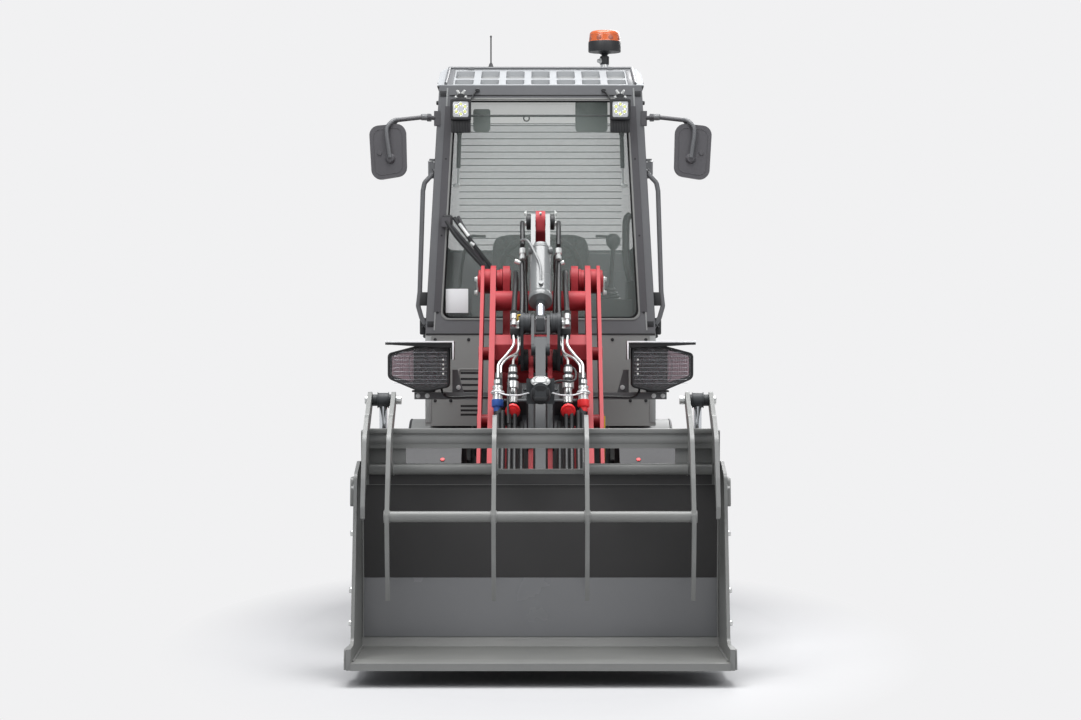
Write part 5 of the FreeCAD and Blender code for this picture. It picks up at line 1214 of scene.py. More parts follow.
    def covers(self) -> None:
        """Adds the dark guards along the centre ribs, with their bolts."""
        guard = Shape()
        route = [(0.64, 0.046), (0.7, 0.052), (0.98, 0.046), (0.98, 0.04), (0.7, 0.044), (0.64, 0.036)]
        guard.prism([(*self.along(s, h), 0.004) for s, h in route], Axis.X, 0.0265, 0.0725, 0.001)
        for s in (0.68, 0.76, 0.9):
            y, z = self.along(s, 0.05)
            guard.hexagon((0.06, y, z), (0, -0.695, 0.719), 0.012, 0.006)
        self.pair("rib_guards", guard, LINKAGE)

    def build(self) -> None:
        """Builds everything that rides on the arm."""
        self.covers()
        self.pins()
        self.hoses()
        self.pipes()
        self.couplings()
        self.socket()


@dataclass
class LinkageDress(Assembly):
    """Bearing rings, the tilt cylinder's fittings and the lever's caps."""

    home: str = "tilt_barrel"
    base: Point = (-0.06, 1.659)
    head: Point = (-0.5, 1.243)
    lever: Point = (-0.45, 1.1)

    def build(self) -> None:
        """Builds the linkage's small parts."""
        y, z = self.base
        heads = Shape().turned([(0.031, 0.0), (0.032, 0.003), (0.032, 0.015), (0.029, 0.018), (0.0, 0.018)],
            (0.039, y, z), (1, 0, 0), 28)
        self.pair("tilt_pin_caps", heads, BLACK)
        keepers = Shape().box((0.057, y - 0.022, z - 0.016), (0.06, y + 0.022, z + 0.046), 0.001)
        keepers.hexagon((0.06, y, z - 0.006), (1, 0, 0), 0.013, 0.009)
        keepers.hexagon((0.06, y, z + 0.034), (1, 0, 0), 0.013, 0.007)
        self.pair("tilt_pin_keepers", keepers, ZINC)
        along = Vector((0, self.head[0] - y, self.head[1] - z)).normalized()
        above = Vector((0, along.z, -along.y))

        def on_barrel(s: float, h: float, x: float) -> tuple[float, float, float]:
            """A point s along the tilt cylinder, h off its axis and x to the side."""
            return tuple(Vector((x, y, z)) + along * s + above * h)

        barrel = Shape()
        barrel.turned([(0.0455, 0.0), (0.0475, 0.003), (0.0475, 0.03), (0.0455, 0.033), (0.0195, 0.033)],
            on_barrel(0.449, 0, 0), tuple(along), 40)
        barrel.turned([(0.0445, 0.0), (0.0465, 0.003), (0.0465, 0.012), (0.0445, 0.015)],
            on_barrel(0.18, 0, 0), tuple(along), 40)
        barrel.turned([(0.014, 0.0), (0.014, 0.014), (0.011, 0.016)], on_barrel(0.215, 0.034, 0.034),
            (1, 0, 0.1), 16)
        barrel.turned([(0.014, 0.0), (0.014, 0.014), (0.011, 0.016)], on_barrel(0.215, 0.034, -0.034),
            (-1, 0, 0.1), 16)
        self.add("tilt_barrel_bosses", barrel, BARREL)
        pipe = Shape().tube([on_barrel(0.15, 0.032, -0.078), on_barrel(0.168, 0.05, -0.058),
            on_barrel(0.205, 0.058, -0.04), on_barrel(0.27, 0.058, -0.018), on_barrel(0.32, 0.056, -0.003),
            on_barrel(0.375, 0.054, 0.002), on_barrel(0.425, 0.048, 0.002)], 0.0055, 10)
        pipe.turned([(0.01, 0.0), (0.01, 0.014), (0.0, 0.014)], on_barrel(0.425, 0.04, 0.002), tuple(above),
            12)
        self.add("tilt_barrel_pipe", pipe, BARREL)
        hy, hz = self.head
        rings = Shape()
        for x0, x1, radius in ((0.0385, 0.046, 0.0395), (0.06, 0.0665, 0.0395), (0.0785, 0.083, 0.024)):
            rings.turned([(radius, 0.0), (radius + 0.001, 0.001), (radius + 0.001, x1 - x0 - 0.001),
                (radius, x1 - x0)], (x0, hy, hz), (1, 0, 0), 36, 0.0)
        self.pair("lever_head_rings", rings, LINKAGE, "tilt_lever")
        drum = Shape()
        ly, lz = self.lever
        for k in range(3):
            drum.turned([(0.0402, 0.0), (0.0425, 0.001), (0.0425, 0.004), (0.0402, 0.005)],
                (0.0485 + 0.006 * k, ly, lz), (1, 0, 0), 36)
        drum.turned([(0.024, 0.0), (0.024, 0.004), (0.0, 0.0045)], (0.0838, ly, lz), (1, 0, 0), 24)
        drum.turned([(0.0, 0.0), (0.036, 0.0), (0.0395, 0.003), (0.0395, 0.007), (0.0, 0.0072)],
            (0.0205, ly, lz), (1, 0, 0), 36)
        self.pair("lever_drum_rings", drum, BLACK, "tilt_lever")
        eye = Shape().prism([(hy - 0.036, hz - 0.034, 0.006), (hy - 0.03, hz + 0.022, 0.012),
            (hy - 0.002, hz + 0.036, 0.01), (hy + 0.006, hz + 0.02, 0.004), (hy - 0.004, hz - 0.03, 0.004)],
            Axis.X, -0.0168, 0.0168, 0.002)
        self.add("tilt_eye_block", eye, LINKAGE, "tilt_rod")
        bolts = Shape().hexagon((0.084, hy, hz), (1, 0, 0), 0.016, 0.009)
        bolts.hexagon((0.0783, hy + 0.02, hz - 0.058), (1, 0, 0), 0.012, 0.007)
        self.pair("lever_bolts", bolts, ZINC, "tilt_lever")


def skin(z: float) -> float:
    """Half the cab's outer width at a height."""
    return 0.481 - max(z - 1.21, 0.0) * 0.05598


def window(low: float, high: float, margin: float, corner: float = 0.03) -> list[Point]:
    """A rounded window outline (x, z), a margin inside the cab's sides."""
    a, b = skin(low) - margin, skin(high) - margin
    return [(-a, low, corner), (a, low, corner), (b, high, corner), (-b, high, corner)]


@dataclass
class LampDress(Assembly):
    """The headlamps with their bowls and lenses, the visors' edges, and the lamps' brackets and cables."""

    home: str = "front_chassis"
    front: float = -0.215
    back: float = -0.085
    centre: Point = (0.4875, 1.069)

    def outline(self, inset: float) -> list[Point]:
        """The housing's outline (x, z), drawn in by an inset."""
        corners = [(0.364, 0.992, 0.018), (0.44, 0.976, 0.04), (0.491, 0.976, 0.06), (0.611, 1.026, 0.026),
            (0.611, 1.126, 0.018), (0.474, 1.162, 0.08), (0.404, 1.162, 0.03), (0.364, 1.156, 0.016)]
        wide, tall = 1 - inset / 0.1235, 1 - inset / 0.093
        cx, cz = self.centre
        return [(cx + (x - cx) * wide, cz + (z - cz) * tall, r) for x, z, r in corners]

    def housing(self) -> None:
        """Adds the housings, open in front of a dark hollow."""
        deep = self.front + 0.05
        shell = Shape().ring(self.outline(0.0), self.outline(0.0085), Axis.Y, self.front, deep, 0.0022, 6)
        shell.prism(self.outline(0.0), Axis.Y, deep, self.back, 0.006, 6)
        shell.ring(self.outline(-0.0012), self.outline(0.0), Axis.Y, self.front + 0.03, self.front + 0.04,
            0.0, 6)
        shell.box((0.4235, self.front + 0.015, 0.9712), (0.515, self.back - 0.015, 0.979), 0.003)
        self.pair("headlamp_housings", shell, BLACK, replaces=("headlamps",))

    def optics(self) -> None:
        """Adds the bowls, the indicator, the row of diodes and the clear lens with its lines."""
        bowls = Shape()
        for x, z, r in ((0.44, 1.112, 0.03), (0.44, 1.03, 0.032), (0.49, 1.07, 0.026)):
            bowls.turned([(0.0, 0.026), (r * 0.35, 0.025), (r * 0.75, 0.014), (r * 0.96, 0.0), (r, 0.0),
                (r, 0.03), (0.0, 0.03)], (x, self.front + 0.014, z), (0, 1, 0), 32)
        for inset, wide in ((0.02, 0.0016), (0.034, 0.0013)):
            low, high = 0.992 + inset, 1.15 - inset
            ring = [oblong(0.364 + inset + w, low + w, 0.545 - inset - w, high - w, 0.028)
                for w in (0.0, wide)]
            bowls.ring(*ring, Axis.Y, self.front + 0.006, self.front + 0.012)
        self.pair("headlamp_bowls", bowls, BOWL)
        amber = Shape().prism([(0.508, 1.01, 0.006), (0.594, 1.036, 0.01), (0.594, 1.116, 0.01),
            (0.508, 1.14, 0.006)], Axis.Y, self.front + 0.01, self.front + 0.034, 0.002)
        for k in range(9):
            x0, x1 = 0.5115 + 0.009 * k, 0.5155 + 0.009 * k
            amber.box((x0, self.front + 0.007, 1.036), (x1, self.front + 0.011, 1.116), 0.001)
        self.pair("headlamp_indicators", amber, INDICATOR)
        chip = Shape().turned([(0.0042, 0.0), (0.0042, 0.002), (0.003, 0.004), (0.0, 0.005)], (0, 0, 0),
            (0, -1, 0), 14)
        row = spread(chip, Spread.ROW, 4, (0, 0, 0.0187), LED, (0.389, self.front + 0.01, 1.045))
        self.pair("headlamp_diodes", row, LED)
        line = Shape().box((0.374, -0.0006, -0.0008), (0.588, 0.0006, 0.0008), 0.0003)
        row = spread(line, Spread.ROW, 9, (0, 0, 0.0155), REFLECTOR, (0, self.front + 0.0042, 1.007))
        self.pair("headlamp_lens_lines", row, REFLECTOR)
        lens = Shape().prism(self.outline(0.0088), Axis.Y, self.front - 0.0005, self.front + 0.0028, 0.0012,
            6)
        self.pair("headlamp_lenses", lens, LENS)

    def trim(self) -> None:
        """Adds the visors' pale edges, black sheets of painted shade under them, the cables and the bar's
        bolts.
        """
        edges = Shape()
        edges.box((0.3455, -0.2368, 1.1698), (0.6218, -0.2351, 1.1757), 0.0005)
        edges.box((0.3455, -0.2368, 1.102), (0.3515, -0.2351, 1.17), 0.0005)
        self.pair("visor_edges", edges, WHITE)
        # Black sheets under the visors' pale edges: painted shade on the undersides of the white visor
        # plates.
        under = Shape()
        under.box((0.3525, -0.2345, 1.161), (0.6195, -0.087, 1.1698), 0.001)
        under.box((0.3512, -0.2345, 1.1035), (0.358, -0.087, 1.165), 0.0008)
        under.prism([(0.358, 1.1615), (0.61, 1.1615), (0.47, 1.153), (0.358, 1.148)], Axis.Y, -0.232, -0.09,
            0.001)
        self.pair("visor_painted_shade", under, BLACK)
        cable = Shape().tube([(0.398, -0.15, 0.985), (0.393, -0.165, 0.968), (0.38, -0.162, 0.955),
            (0.35, -0.158, 0.95), (0.28, -0.157, 0.953), (0.2, -0.156, 0.95)], 0.0045, 8)
        self.pair("headlamp_cables", cable, HOSE)
        bolts = Shape()
        for x, z in ((0.185, 0.956), (0.33, 0.99), (0.455, 0.956), (0.492, 0.956)):
            bolts.hexagon((x, -0.134 if z > 0.98 else -0.155, z), (0, -1, 0), 0.012, 0.008)
        self.pair("lamp_bar_bolts", bolts, ZINC)

    def build(self) -> None:
        """Builds both headlamps."""
        self.housing()
        self.optics()
        self.trim()


@dataclass
class CabDress(Assembly):
    """What is fixed to the cab: seals, light strips of painted highlight, mirrors, rails' brackets, work
    lamps, wiper, doors' trim.
    """

    def seals(self) -> None:
        """Adds the rubber seals around the windows and the dark joints between the panels."""
        # The frame's inner faces about the windscreen take the lighter panel grey, not the frame's
        # anthracite: painted light on faces that sit in shade here.
        lining = Shape().ring(window(1.2665, 2.1945, 0.0595), window(1.274, 2.187, 0.067), Axis.Y, 0.2675,
            0.2905, 0.0015)
        self.add("screen_lining", lining, PANEL)
        # A darker strip along the inner edge of each front pillar.
        low, high = 1.3, 2.16
        a, b = skin(low), skin(high)
        shade = Shape().prism([(a - 0.06, low), (a - 0.03, low), (b - 0.03, high), (b - 0.06, high)],
            Axis.Y, 0.2676, 0.2686)
        self.pair("pillar_dark_strip", shade, MOULDING)
        seal = Shape()
        seal.ring(window(1.5875, 2.1805, 0.0245), window(1.597, 2.171, 0.034), Axis.Y, 1.219, 1.243, 0.0015)
        seal.box((-0.4785, 0.2682, 1.2045), (0.4785, 0.2715, 1.2115), 0.001)
        seal.box((-0.4215, 0.2955, 2.2415), (0.4215, 0.3015, 2.2475), 0.001)
        seal.box((-0.38, 0.2676, 2.2035), (0.38, 0.2706, 2.2075), 0.0008)
        self.add("cab_seals", seal, SEAL)
        band = Shape().ring(window(1.2735, 2.1875, 0.0665), window(1.282, 2.18, 0.073, 0.03), Axis.Y, 0.315,
            0.3158)
        self.add("screen_print", band, SEAL)
        tint = Shape().prism(window(1.589, 2.1795, 0.0255), Axis.Y, 1.206, 1.207)
        self.add("rear_glass_tint", tint, TINT)
        smoke = Shape().prism([(0.402, 2.2545), (0.712, 2.3435), (0.712, 2.3425), (0.402, 2.2535)], Axis.X,
            -0.388, 0.388)
        self.add("roof_pane_smoke", smoke, SMOKED)
        # The headliner glows: painted light inside the cab's roof.
        liner = Shape().box((-0.395, 1.141, 2.166), (0.395, 1.1495, 2.2462), 0.001)
        liner.box((-0.36, 1.198, 2.247), (0.36, 1.208, 2.335), 0.001)
        self.add("headliner", liner, HEADLINER)
        joints = Shape()
        for z in (1.25, 2.212):
            joints.box((skin(z) - 0.034, 0.268, z - 0.012), (skin(z) - 0.006, 0.2702, z + 0.012), 0.001)
        joints.turned([(0.009, 0.0), (0.009, 0.007), (0.006, 0.01), (0.0, 0.01)],
            (skin(2.175) - 0.001, 0.285, 2.175), (1, 0, 0), 16)
        joints.turned([(0.009, 0.0), (0.009, 0.006), (0.006, 0.009), (0.0, 0.009)], (0.263, 0.2695, 2.226),
            (0, -1, 0), 16)
        self.pair("cab_black_caps", joints, BLACK)

    def panels(self) -> None:
        """Adds light strips of painted highlight along the front pillars' and lower corners' edges, the lower
        panel with its frame about the vents, and its screws.
        """
        # Light strips on the pillars' and lower corners' edges: painted highlight.
        strips = Shape().box((0.4555, 0.2672, 0.84), (0.48, 0.2699, 1.2), 0.001)
        strips.prism([(0.441, 1.224), (0.447, 1.224), (0.391, 2.236), (0.385, 2.236)], Axis.Y, 0.2678,
            0.2699)
        self.pair("cab_pillar_painted_highlights", strips, PAINTED_PILLAR_HIGHLIGHT)
        panel = Shape().ring(oblong(0.246, 0.948, 0.346, 1.066, 0.012),
            oblong(0.2535, 0.9555, 0.3385, 1.0585, 0.008), Axis.Y, 0.2665, 0.2705, 0.001)
        self.add("cab_front_trim", panel.flipped(-1.0), PANEL)
        screws = Shape()
        for x, z in ((0.13, 1.185), (0.3, 1.185), (0.44, 1.185), (0.44, 1.08), (0.44, 0.93), (0.375, 0.93),
                (0.21, 0.93)):
            screws.hexagon((x, 0.2698, z), (0, -1, 0), 0.009, 0.004)
        for z in (1.3, 1.62, 1.94):
            screws.hexagon((skin(z) - 0.045, 0.2698, z), (0, -1, 0), 0.008, 0.003)
        self.pair("cab_front_screws", screws, BLACK)
        sheet = Shape().box((-0.3965, 0.2945, 1.297), (-0.3027, 0.2955, 1.398), 0.0002)
        self.add("blank_sheet", sheet, WHITE)
        vent = Shape().box((0.2545, 0.2735, 0.958), (0.3375, 0.2765, 1.056), 0.0)
        vent.box((0.2545, 0.2735, 0.862), (0.3375, 0.2765, 0.916), 0.0)
        self.add("vent_backs", vent.flipped(-1.0), BLACK)

    def mirror_trim(self) -> None:
        """Adds the mirrors' faces, rims, ball joints and the bars in front of them."""
        flat = [(0.555, 1.868, 0.04), (0.7, 1.844, 0.04), (0.713, 2.07, 0.04), (0.56, 2.085, 0.04)]
        cx, cz = 0.632, 1.967
        inner = [(cx + (x - cx) * 0.9, cz + (z - cz) * 0.93, 0.034) for x, z, _ in flat]
        self.pair("mirror_faces", Shape().prism(inner, Axis.Y, 0.2425, 0.2445, 0.0008), MIRROR)
        rims = Shape().ring(flat, inner, Axis.Y, 0.2428, 0.249, 0.002)
        dish = [(cx + (x - cx) * 0.8, cz + (z - cz) * 0.86, 0.03) for x, z, _ in flat]
        deep = [(cx + (x - cx) * 0.77, cz + (z - cz) * 0.84, 0.028) for x, z, _ in flat]
        rims.ring(dish, deep, Axis.Y, 0.2035, 0.206, 0.0008)
        rims.turned([(0.022, 0.0), (0.019, 0.006), (0.014, 0.012), (0.0, 0.015)], (0.6235, 0.2055, 1.936),
            (0, -1, 0), 20)
        rims.turned([(0.011, 0.0), (0.01, 0.004), (0.0, 0.005)], (0.668, 0.2055, 1.96), (0, -1, 0), 12)
        self.pair("mirror_rims", rims, MOULDING)
        bars = Shape().tube([(0.59, 0.222, 2.1), (0.612, 0.205, 2.094), (0.636, 0.193, 2.066),
            (0.6375, 0.19, 2.03), (0.631, 0.191, 1.985), (0.625, 0.193, 1.94)], 0.0085, 12, 5)
        bars.turned([(0.0125, 0.0), (0.0135, 0.004), (0.0135, 0.02), (0.0125, 0.024)],
            (0.497, 0.238, 2.1115), (-1, 0.25, 0), 16)
        bars.box((0.455, 0.256, 2.096), (0.475, 0.276, 2.128), 0.004)
        self.pair("mirror_bars", bars, RAIL)

    def rails(self) -> None:
        """Adds the grab rails' brackets and end flanges, and the moulded corners under them."""
        brackets = Shape().box((0.47, 0.283, 1.327), (0.506, 0.301, 1.384), 0.004)
        brackets.box((0.478, 0.302, 1.206), (0.506, 0.335, 1.277), 0.006)
        brackets.turned([(0.019, 0.0), (0.019, 0.004), (0.013, 0.006)], (skin(1.888) - 0.001, 0.292, 1.886),
            (0.8, 0, -0.6), 18)
        brackets.turned([(0.019, 0.0), (0.019, 0.004), (0.013, 0.006)], (skin(1.235), 0.292, 1.246),
            (0.55, 0, 0.83), 18)
        self.pair("grab_rail_brackets", brackets, BLACK)

    def lamps(self) -> None:
        """Adds the work lamps' bezels, faces, chips, cooling backs, wing bolts and cables."""
        x, z, front = 0.331, 2.14, 0.19
        bezel = Shape()
        square = [oblong(x - h, z - h, x + h, z + h, r) for h, r in ((0.0435, 0.01), (0.0325, 0.007))]
        bezel.ring(*square, Axis.Y, front - 0.006, front + 0.001, 0.0015)
        bezel.box((x - 0.041, front + 0.008, 2.045), (x + 0.041, front + 0.044, 2.0985), 0.004)
        for k in range(7):
            x0, x1 = x - 0.036 + 0.011 * k, x - 0.032 + 0.011 * k
            bezel.box((x0, front + 0.004, 2.043), (x1, front + 0.01, 2.092), 0.001)
        bezel.box((x - 0.022, front + 0.014, 2.183), (x + 0.022, front + 0.034, 2.19), 0.002)
        self.pair("work_lamp_bezels", bezel, BLACK)
        face = Shape().box((x - 0.0328, front - 0.0032, z - 0.0328),
            (x + 0.0328, front + 0.0005, z + 0.0328), 0.001)
        self.pair("work_lamp_faces", face, LAMP_FACE)
        chips, cups = Shape(), Shape()
        for k in range(6):
            angle = math.pi / 3 * k + math.pi / 6
            spot = (x + 0.0205 * math.cos(angle), front - 0.003, z + 0.0205 * math.sin(angle))
            cups.torus(spot, (0, 1, 0), 0.0082, 0.0014, 24, 8)
            chips.turned([(0.0062, 0.0), (0.0058, 0.0016), (0.0, 0.0024)], spot, (0, -1, 0), 16)
        self.pair("work_lamp_cups", cups, REFLECTOR)
        self.pair("work_lamp_chips", chips, CHIP)
        bolts = Shape()
        for dx in (-0.028, 0.028):
            bolts.hexagon((x + dx * 0.7, 0.214, 2.19), (0, 0, 1), 0.012, 0.007)
            bolts.turned([(0.006, 0.0), (0.007, 0.003), (0.0045, 0.018), (0.0, 0.02)],
                (x + dx * 0.25, 0.212, 2.206), (dx * 18, -0.3, 0.8), 12)
        self.pair("work_lamp_bolts", bolts, ZINC)
        cable = Shape().tube([(x - 0.02, 0.236, 2.15), (x - 0.034, 0.25, 2.172), (x - 0.05, 0.262, 2.206),
            (x - 0.068, 0.266, 2.226)], 0.0035, 8)
        self.pair("work_lamp_cables", cable, HOSE)

    def wiper_trim(self) -> None:
        """Adds the wiper's cover, its two arms and their bright links."""
        y = 0.247
        cover = Shape().box((-0.407, y - 0.006, 1.662), (-0.366, y + 0.022, 1.704), 0.006)
        cover.tube([(-0.395, y, 1.68), (-0.35, y - 0.004, 1.615), (-0.285, y - 0.002, 1.54),
            (-0.222, y, 1.472)], 0.0095, 8)
        cover.tube([(-0.362, y, 1.694), (-0.33, y - 0.006, 1.65), (-0.262, y - 0.004, 1.56),
            (-0.205, y, 1.486)], 0.0085, 8)
        self.add("wiper_cover", cover, BLACK)
        light = Shape().tube([(-0.338, y - 0.012, 1.668), (-0.318, y - 0.013, 1.642),
            (-0.3, y - 0.012, 1.616)], 0.0075, 8)
        light.tube([(-0.292, y - 0.011, 1.59), (-0.276, y - 0.011, 1.578)], 0.007, 8, 1)
        self.add("wiper_links", light, ZINC)

    def door(self, side: float, body: str) -> None:
        """Adds one door's window seals, its handle and lock, and its hinges' bolts."""
        seal = Shape()
        for y0, y1, z0, z1 in ((0.395, 1.045, 1.25, 2.11), (0.395, 0.865, 1.0, 1.185)):
            route = [(skin(z) + 0.0012, y, z) for y, z in rounded(oblong(y0, z0, y1, z1, 0.04))]
            seal.tube(route + route[:1], 0.0055, 8, 1)
        self.add("window_seals_" + body, seal.flipped(side), SEAL, body)
        handle = Shape().tube([(0.48, 0.985, 1.205), (0.505, 0.985, 1.205), (0.509, 0.95, 1.205),
            (0.509, 0.88, 1.205), (0.505, 0.85, 1.205), (0.48, 0.85, 1.205)], 0.009, 10, 4)
        handle.turned([(0.02, 0.0), (0.02, 0.004), (0.012, 0.006), (0.012, 0.009), (0.0, 0.009)],
            (0.481, 0.92, 1.16), (1, 0, 0), 24)
        handle.box((0.4805, 0.835, 1.186), (0.4845, 1.0, 1.224), 0.0015)
        self.add("door_handle_" + body, handle.flipped(side), BLACK, body)
        caps = Shape()
        for z in (1.04, 1.96):
            caps.turned([(0.0125, 0.0), (0.0125, 0.003), (0.006, 0.006), (0.0, 0.006)],
                (0.494, 1.122, z + 0.0302), (0, 0, 1), 16)
            for dz in (-0.016, 0.016):
                caps.hexagon((skin(z + dz) + 0.0015, 1.086, z + dz), (1, 0, 0), 0.01, 0.006)
        self.add("door_hinge_bolts_" + body, caps.flipped(side), ZINC, body)

    def build(self) -> None:
        """Builds the cab's trim."""
        for step in (self.seals, self.panels, self.mirror_trim, self.rails, self.lamps, self.wiper_trim):
            step()
        self.door(-1.0, "door_left")
        self.door(1.0, "door_right")


@dataclass
class RoofDress(Assembly):
    """The guard's frame, the roof's seals, and the beacon's and antenna's small parts."""

    beacon: Point = (0.2825, 0.9)

    def guard(self) -> None:
        """Adds the dark frame about the guard, its feet and the gutters."""
        frame_bar = Shape()
        low, high = (0.302, 2.258), (0.668, 2.3625)
        half = 0.397
        route = [(-half, *low), (-half + 0.004, *high), (half - 0.004, *high), (half, *low)]
        for start, end in zip(route, route[1:]):
            frame_bar.rod(start, end, 0.0062, 12)
        for x in (-0.3, 0.3):
            frame_bar.box((x - 0.012, high[0] - 0.008, high[1] - 0.01),
                (x + 0.012, high[0] + 0.01, high[1] + 0.004), 0.002)
        self.add("guard_frame", frame_bar, CAB)
        lips = Shape()
        y0, y1, rise = 0.309, 0.643, 0.2874
        flat = [(y0, 2.2535), (y1, 2.2535 + (y1 - y0) * rise), (y1, 2.256 + (y1 - y0) * rise), (y0, 2.256)]
        for k in (-1, 1):
            lips.prism(flat, Axis.X, k * 0.378 - 0.012, k * 0.378 + 0.012, 0.0005)
        self.add("guard_side_bands", lips, CAB)
        gutter = Shape().box((0.4235, 0.3, 2.2425), (0.4325, 1.25, 2.2485), 0.001)
        gutter.box((0.43, 0.33, 2.26), (0.4325, 1.24, 2.264), 0.001)
        self.pair("roof_gutters", gutter, SEAL)
        screws = Shape()
        for x in (-0.36, -0.12, 0.12, 0.36):
            screws.hexagon((x, 1.2548, 2.285), (0, 1, 0), 0.011, 0.005)
        self.add("roof_screws", screws, ZINC)

    def lights(self) -> None:
        """Adds the beacon's base, clamp and ribs, and the antenna's foot."""
        x, y = self.beacon
        base = Shape().turned([(0.0, 0.0), (0.0706, 0.0), (0.0716, 0.002), (0.0716, 0.04), (0.07, 0.0455)],
            (x, y, 2.4578), (0, 0, 1), 48)
        base.turned([(0.0285, 0.0), (0.0285, 0.012), (0.02, 0.016), (0.013, 0.0165), (0.013, 0.086)],
            (x, y, 2.3735), (0, 0, 1), 24)
        base.turned([(0.014, 0.0), (0.02, 0.001), (0.02, 0.036), (0.0135, 0.04)], (x, y, 2.402), (0, 0, 1),
            24)
        base.turned([(0.014, 0.0), (0.03, 0.01), (0.034, 0.012)], (x, y, 2.446), (0, 0, 1), 24)
        base.box((x - 0.0405, y - 0.0305, 2.368), (x + 0.0405, y + 0.0305, 2.3752), 0.0015)
        self.add("beacon_base", base, BLACK)
        clamp = Shape().hexagon((x - 0.018, y - 0.01, 2.418), (-0.8, -0.5, 0), 0.016, 0.014)
        clamp.turned([(0.0175, 0.0), (0.0175, 0.012), (0.013, 0.013)], (x, y, 2.392), (0, 0, 1), 20)
        self.add("beacon_clamp", clamp, ZINC)
        ribs = Shape()
        for z, radius in ((2.5045, 0.069), (2.533, 0.0656)):
            ribs.torus((x, y, z), (0, 0, 1), radius, 0.0012, 56, 6)
        self.add("beacon_rings", ribs, BEACON)
        lamp = Shape()
        for k in range(8):
            angle = math.pi / 4 * k + math.pi / 8
            px, py = x + 0.0565 * math.cos(angle), y + 0.0565 * math.sin(angle)
            lamp.turned([(0.0, 0.0), (0.0115, 0.0), (0.0115, 0.0116), (0.0095, 0.0126), (0.0, 0.013)],
                (px, py, 2.517), (math.cos(angle), math.sin(angle), 0), 16)
        self.add("beacon_lamps", lamp, BEACON_LAMP)
        whip = Shape().turned([(0.0155, 0.0), (0.0155, 0.004), (0.0125, 0.01), (0.008, 0.026),
            (0.0045, 0.034), (0.0034, 0.036)], (-0.217, 0.82, 2.3682), (0, 0, 1), 20)
        whip.turned([(0.0, 0.0), (0.0042, 0.001), (0.0046, 0.006), (0.0, 0.011)], (-0.217, 0.82, 2.5125),
            (0, 0, 1), 12)
        self.add("antenna_foot", whip, BLACK)

    def build(self) -> None:
        """Builds what is on the roof."""
        self.guard()
        self.lights()


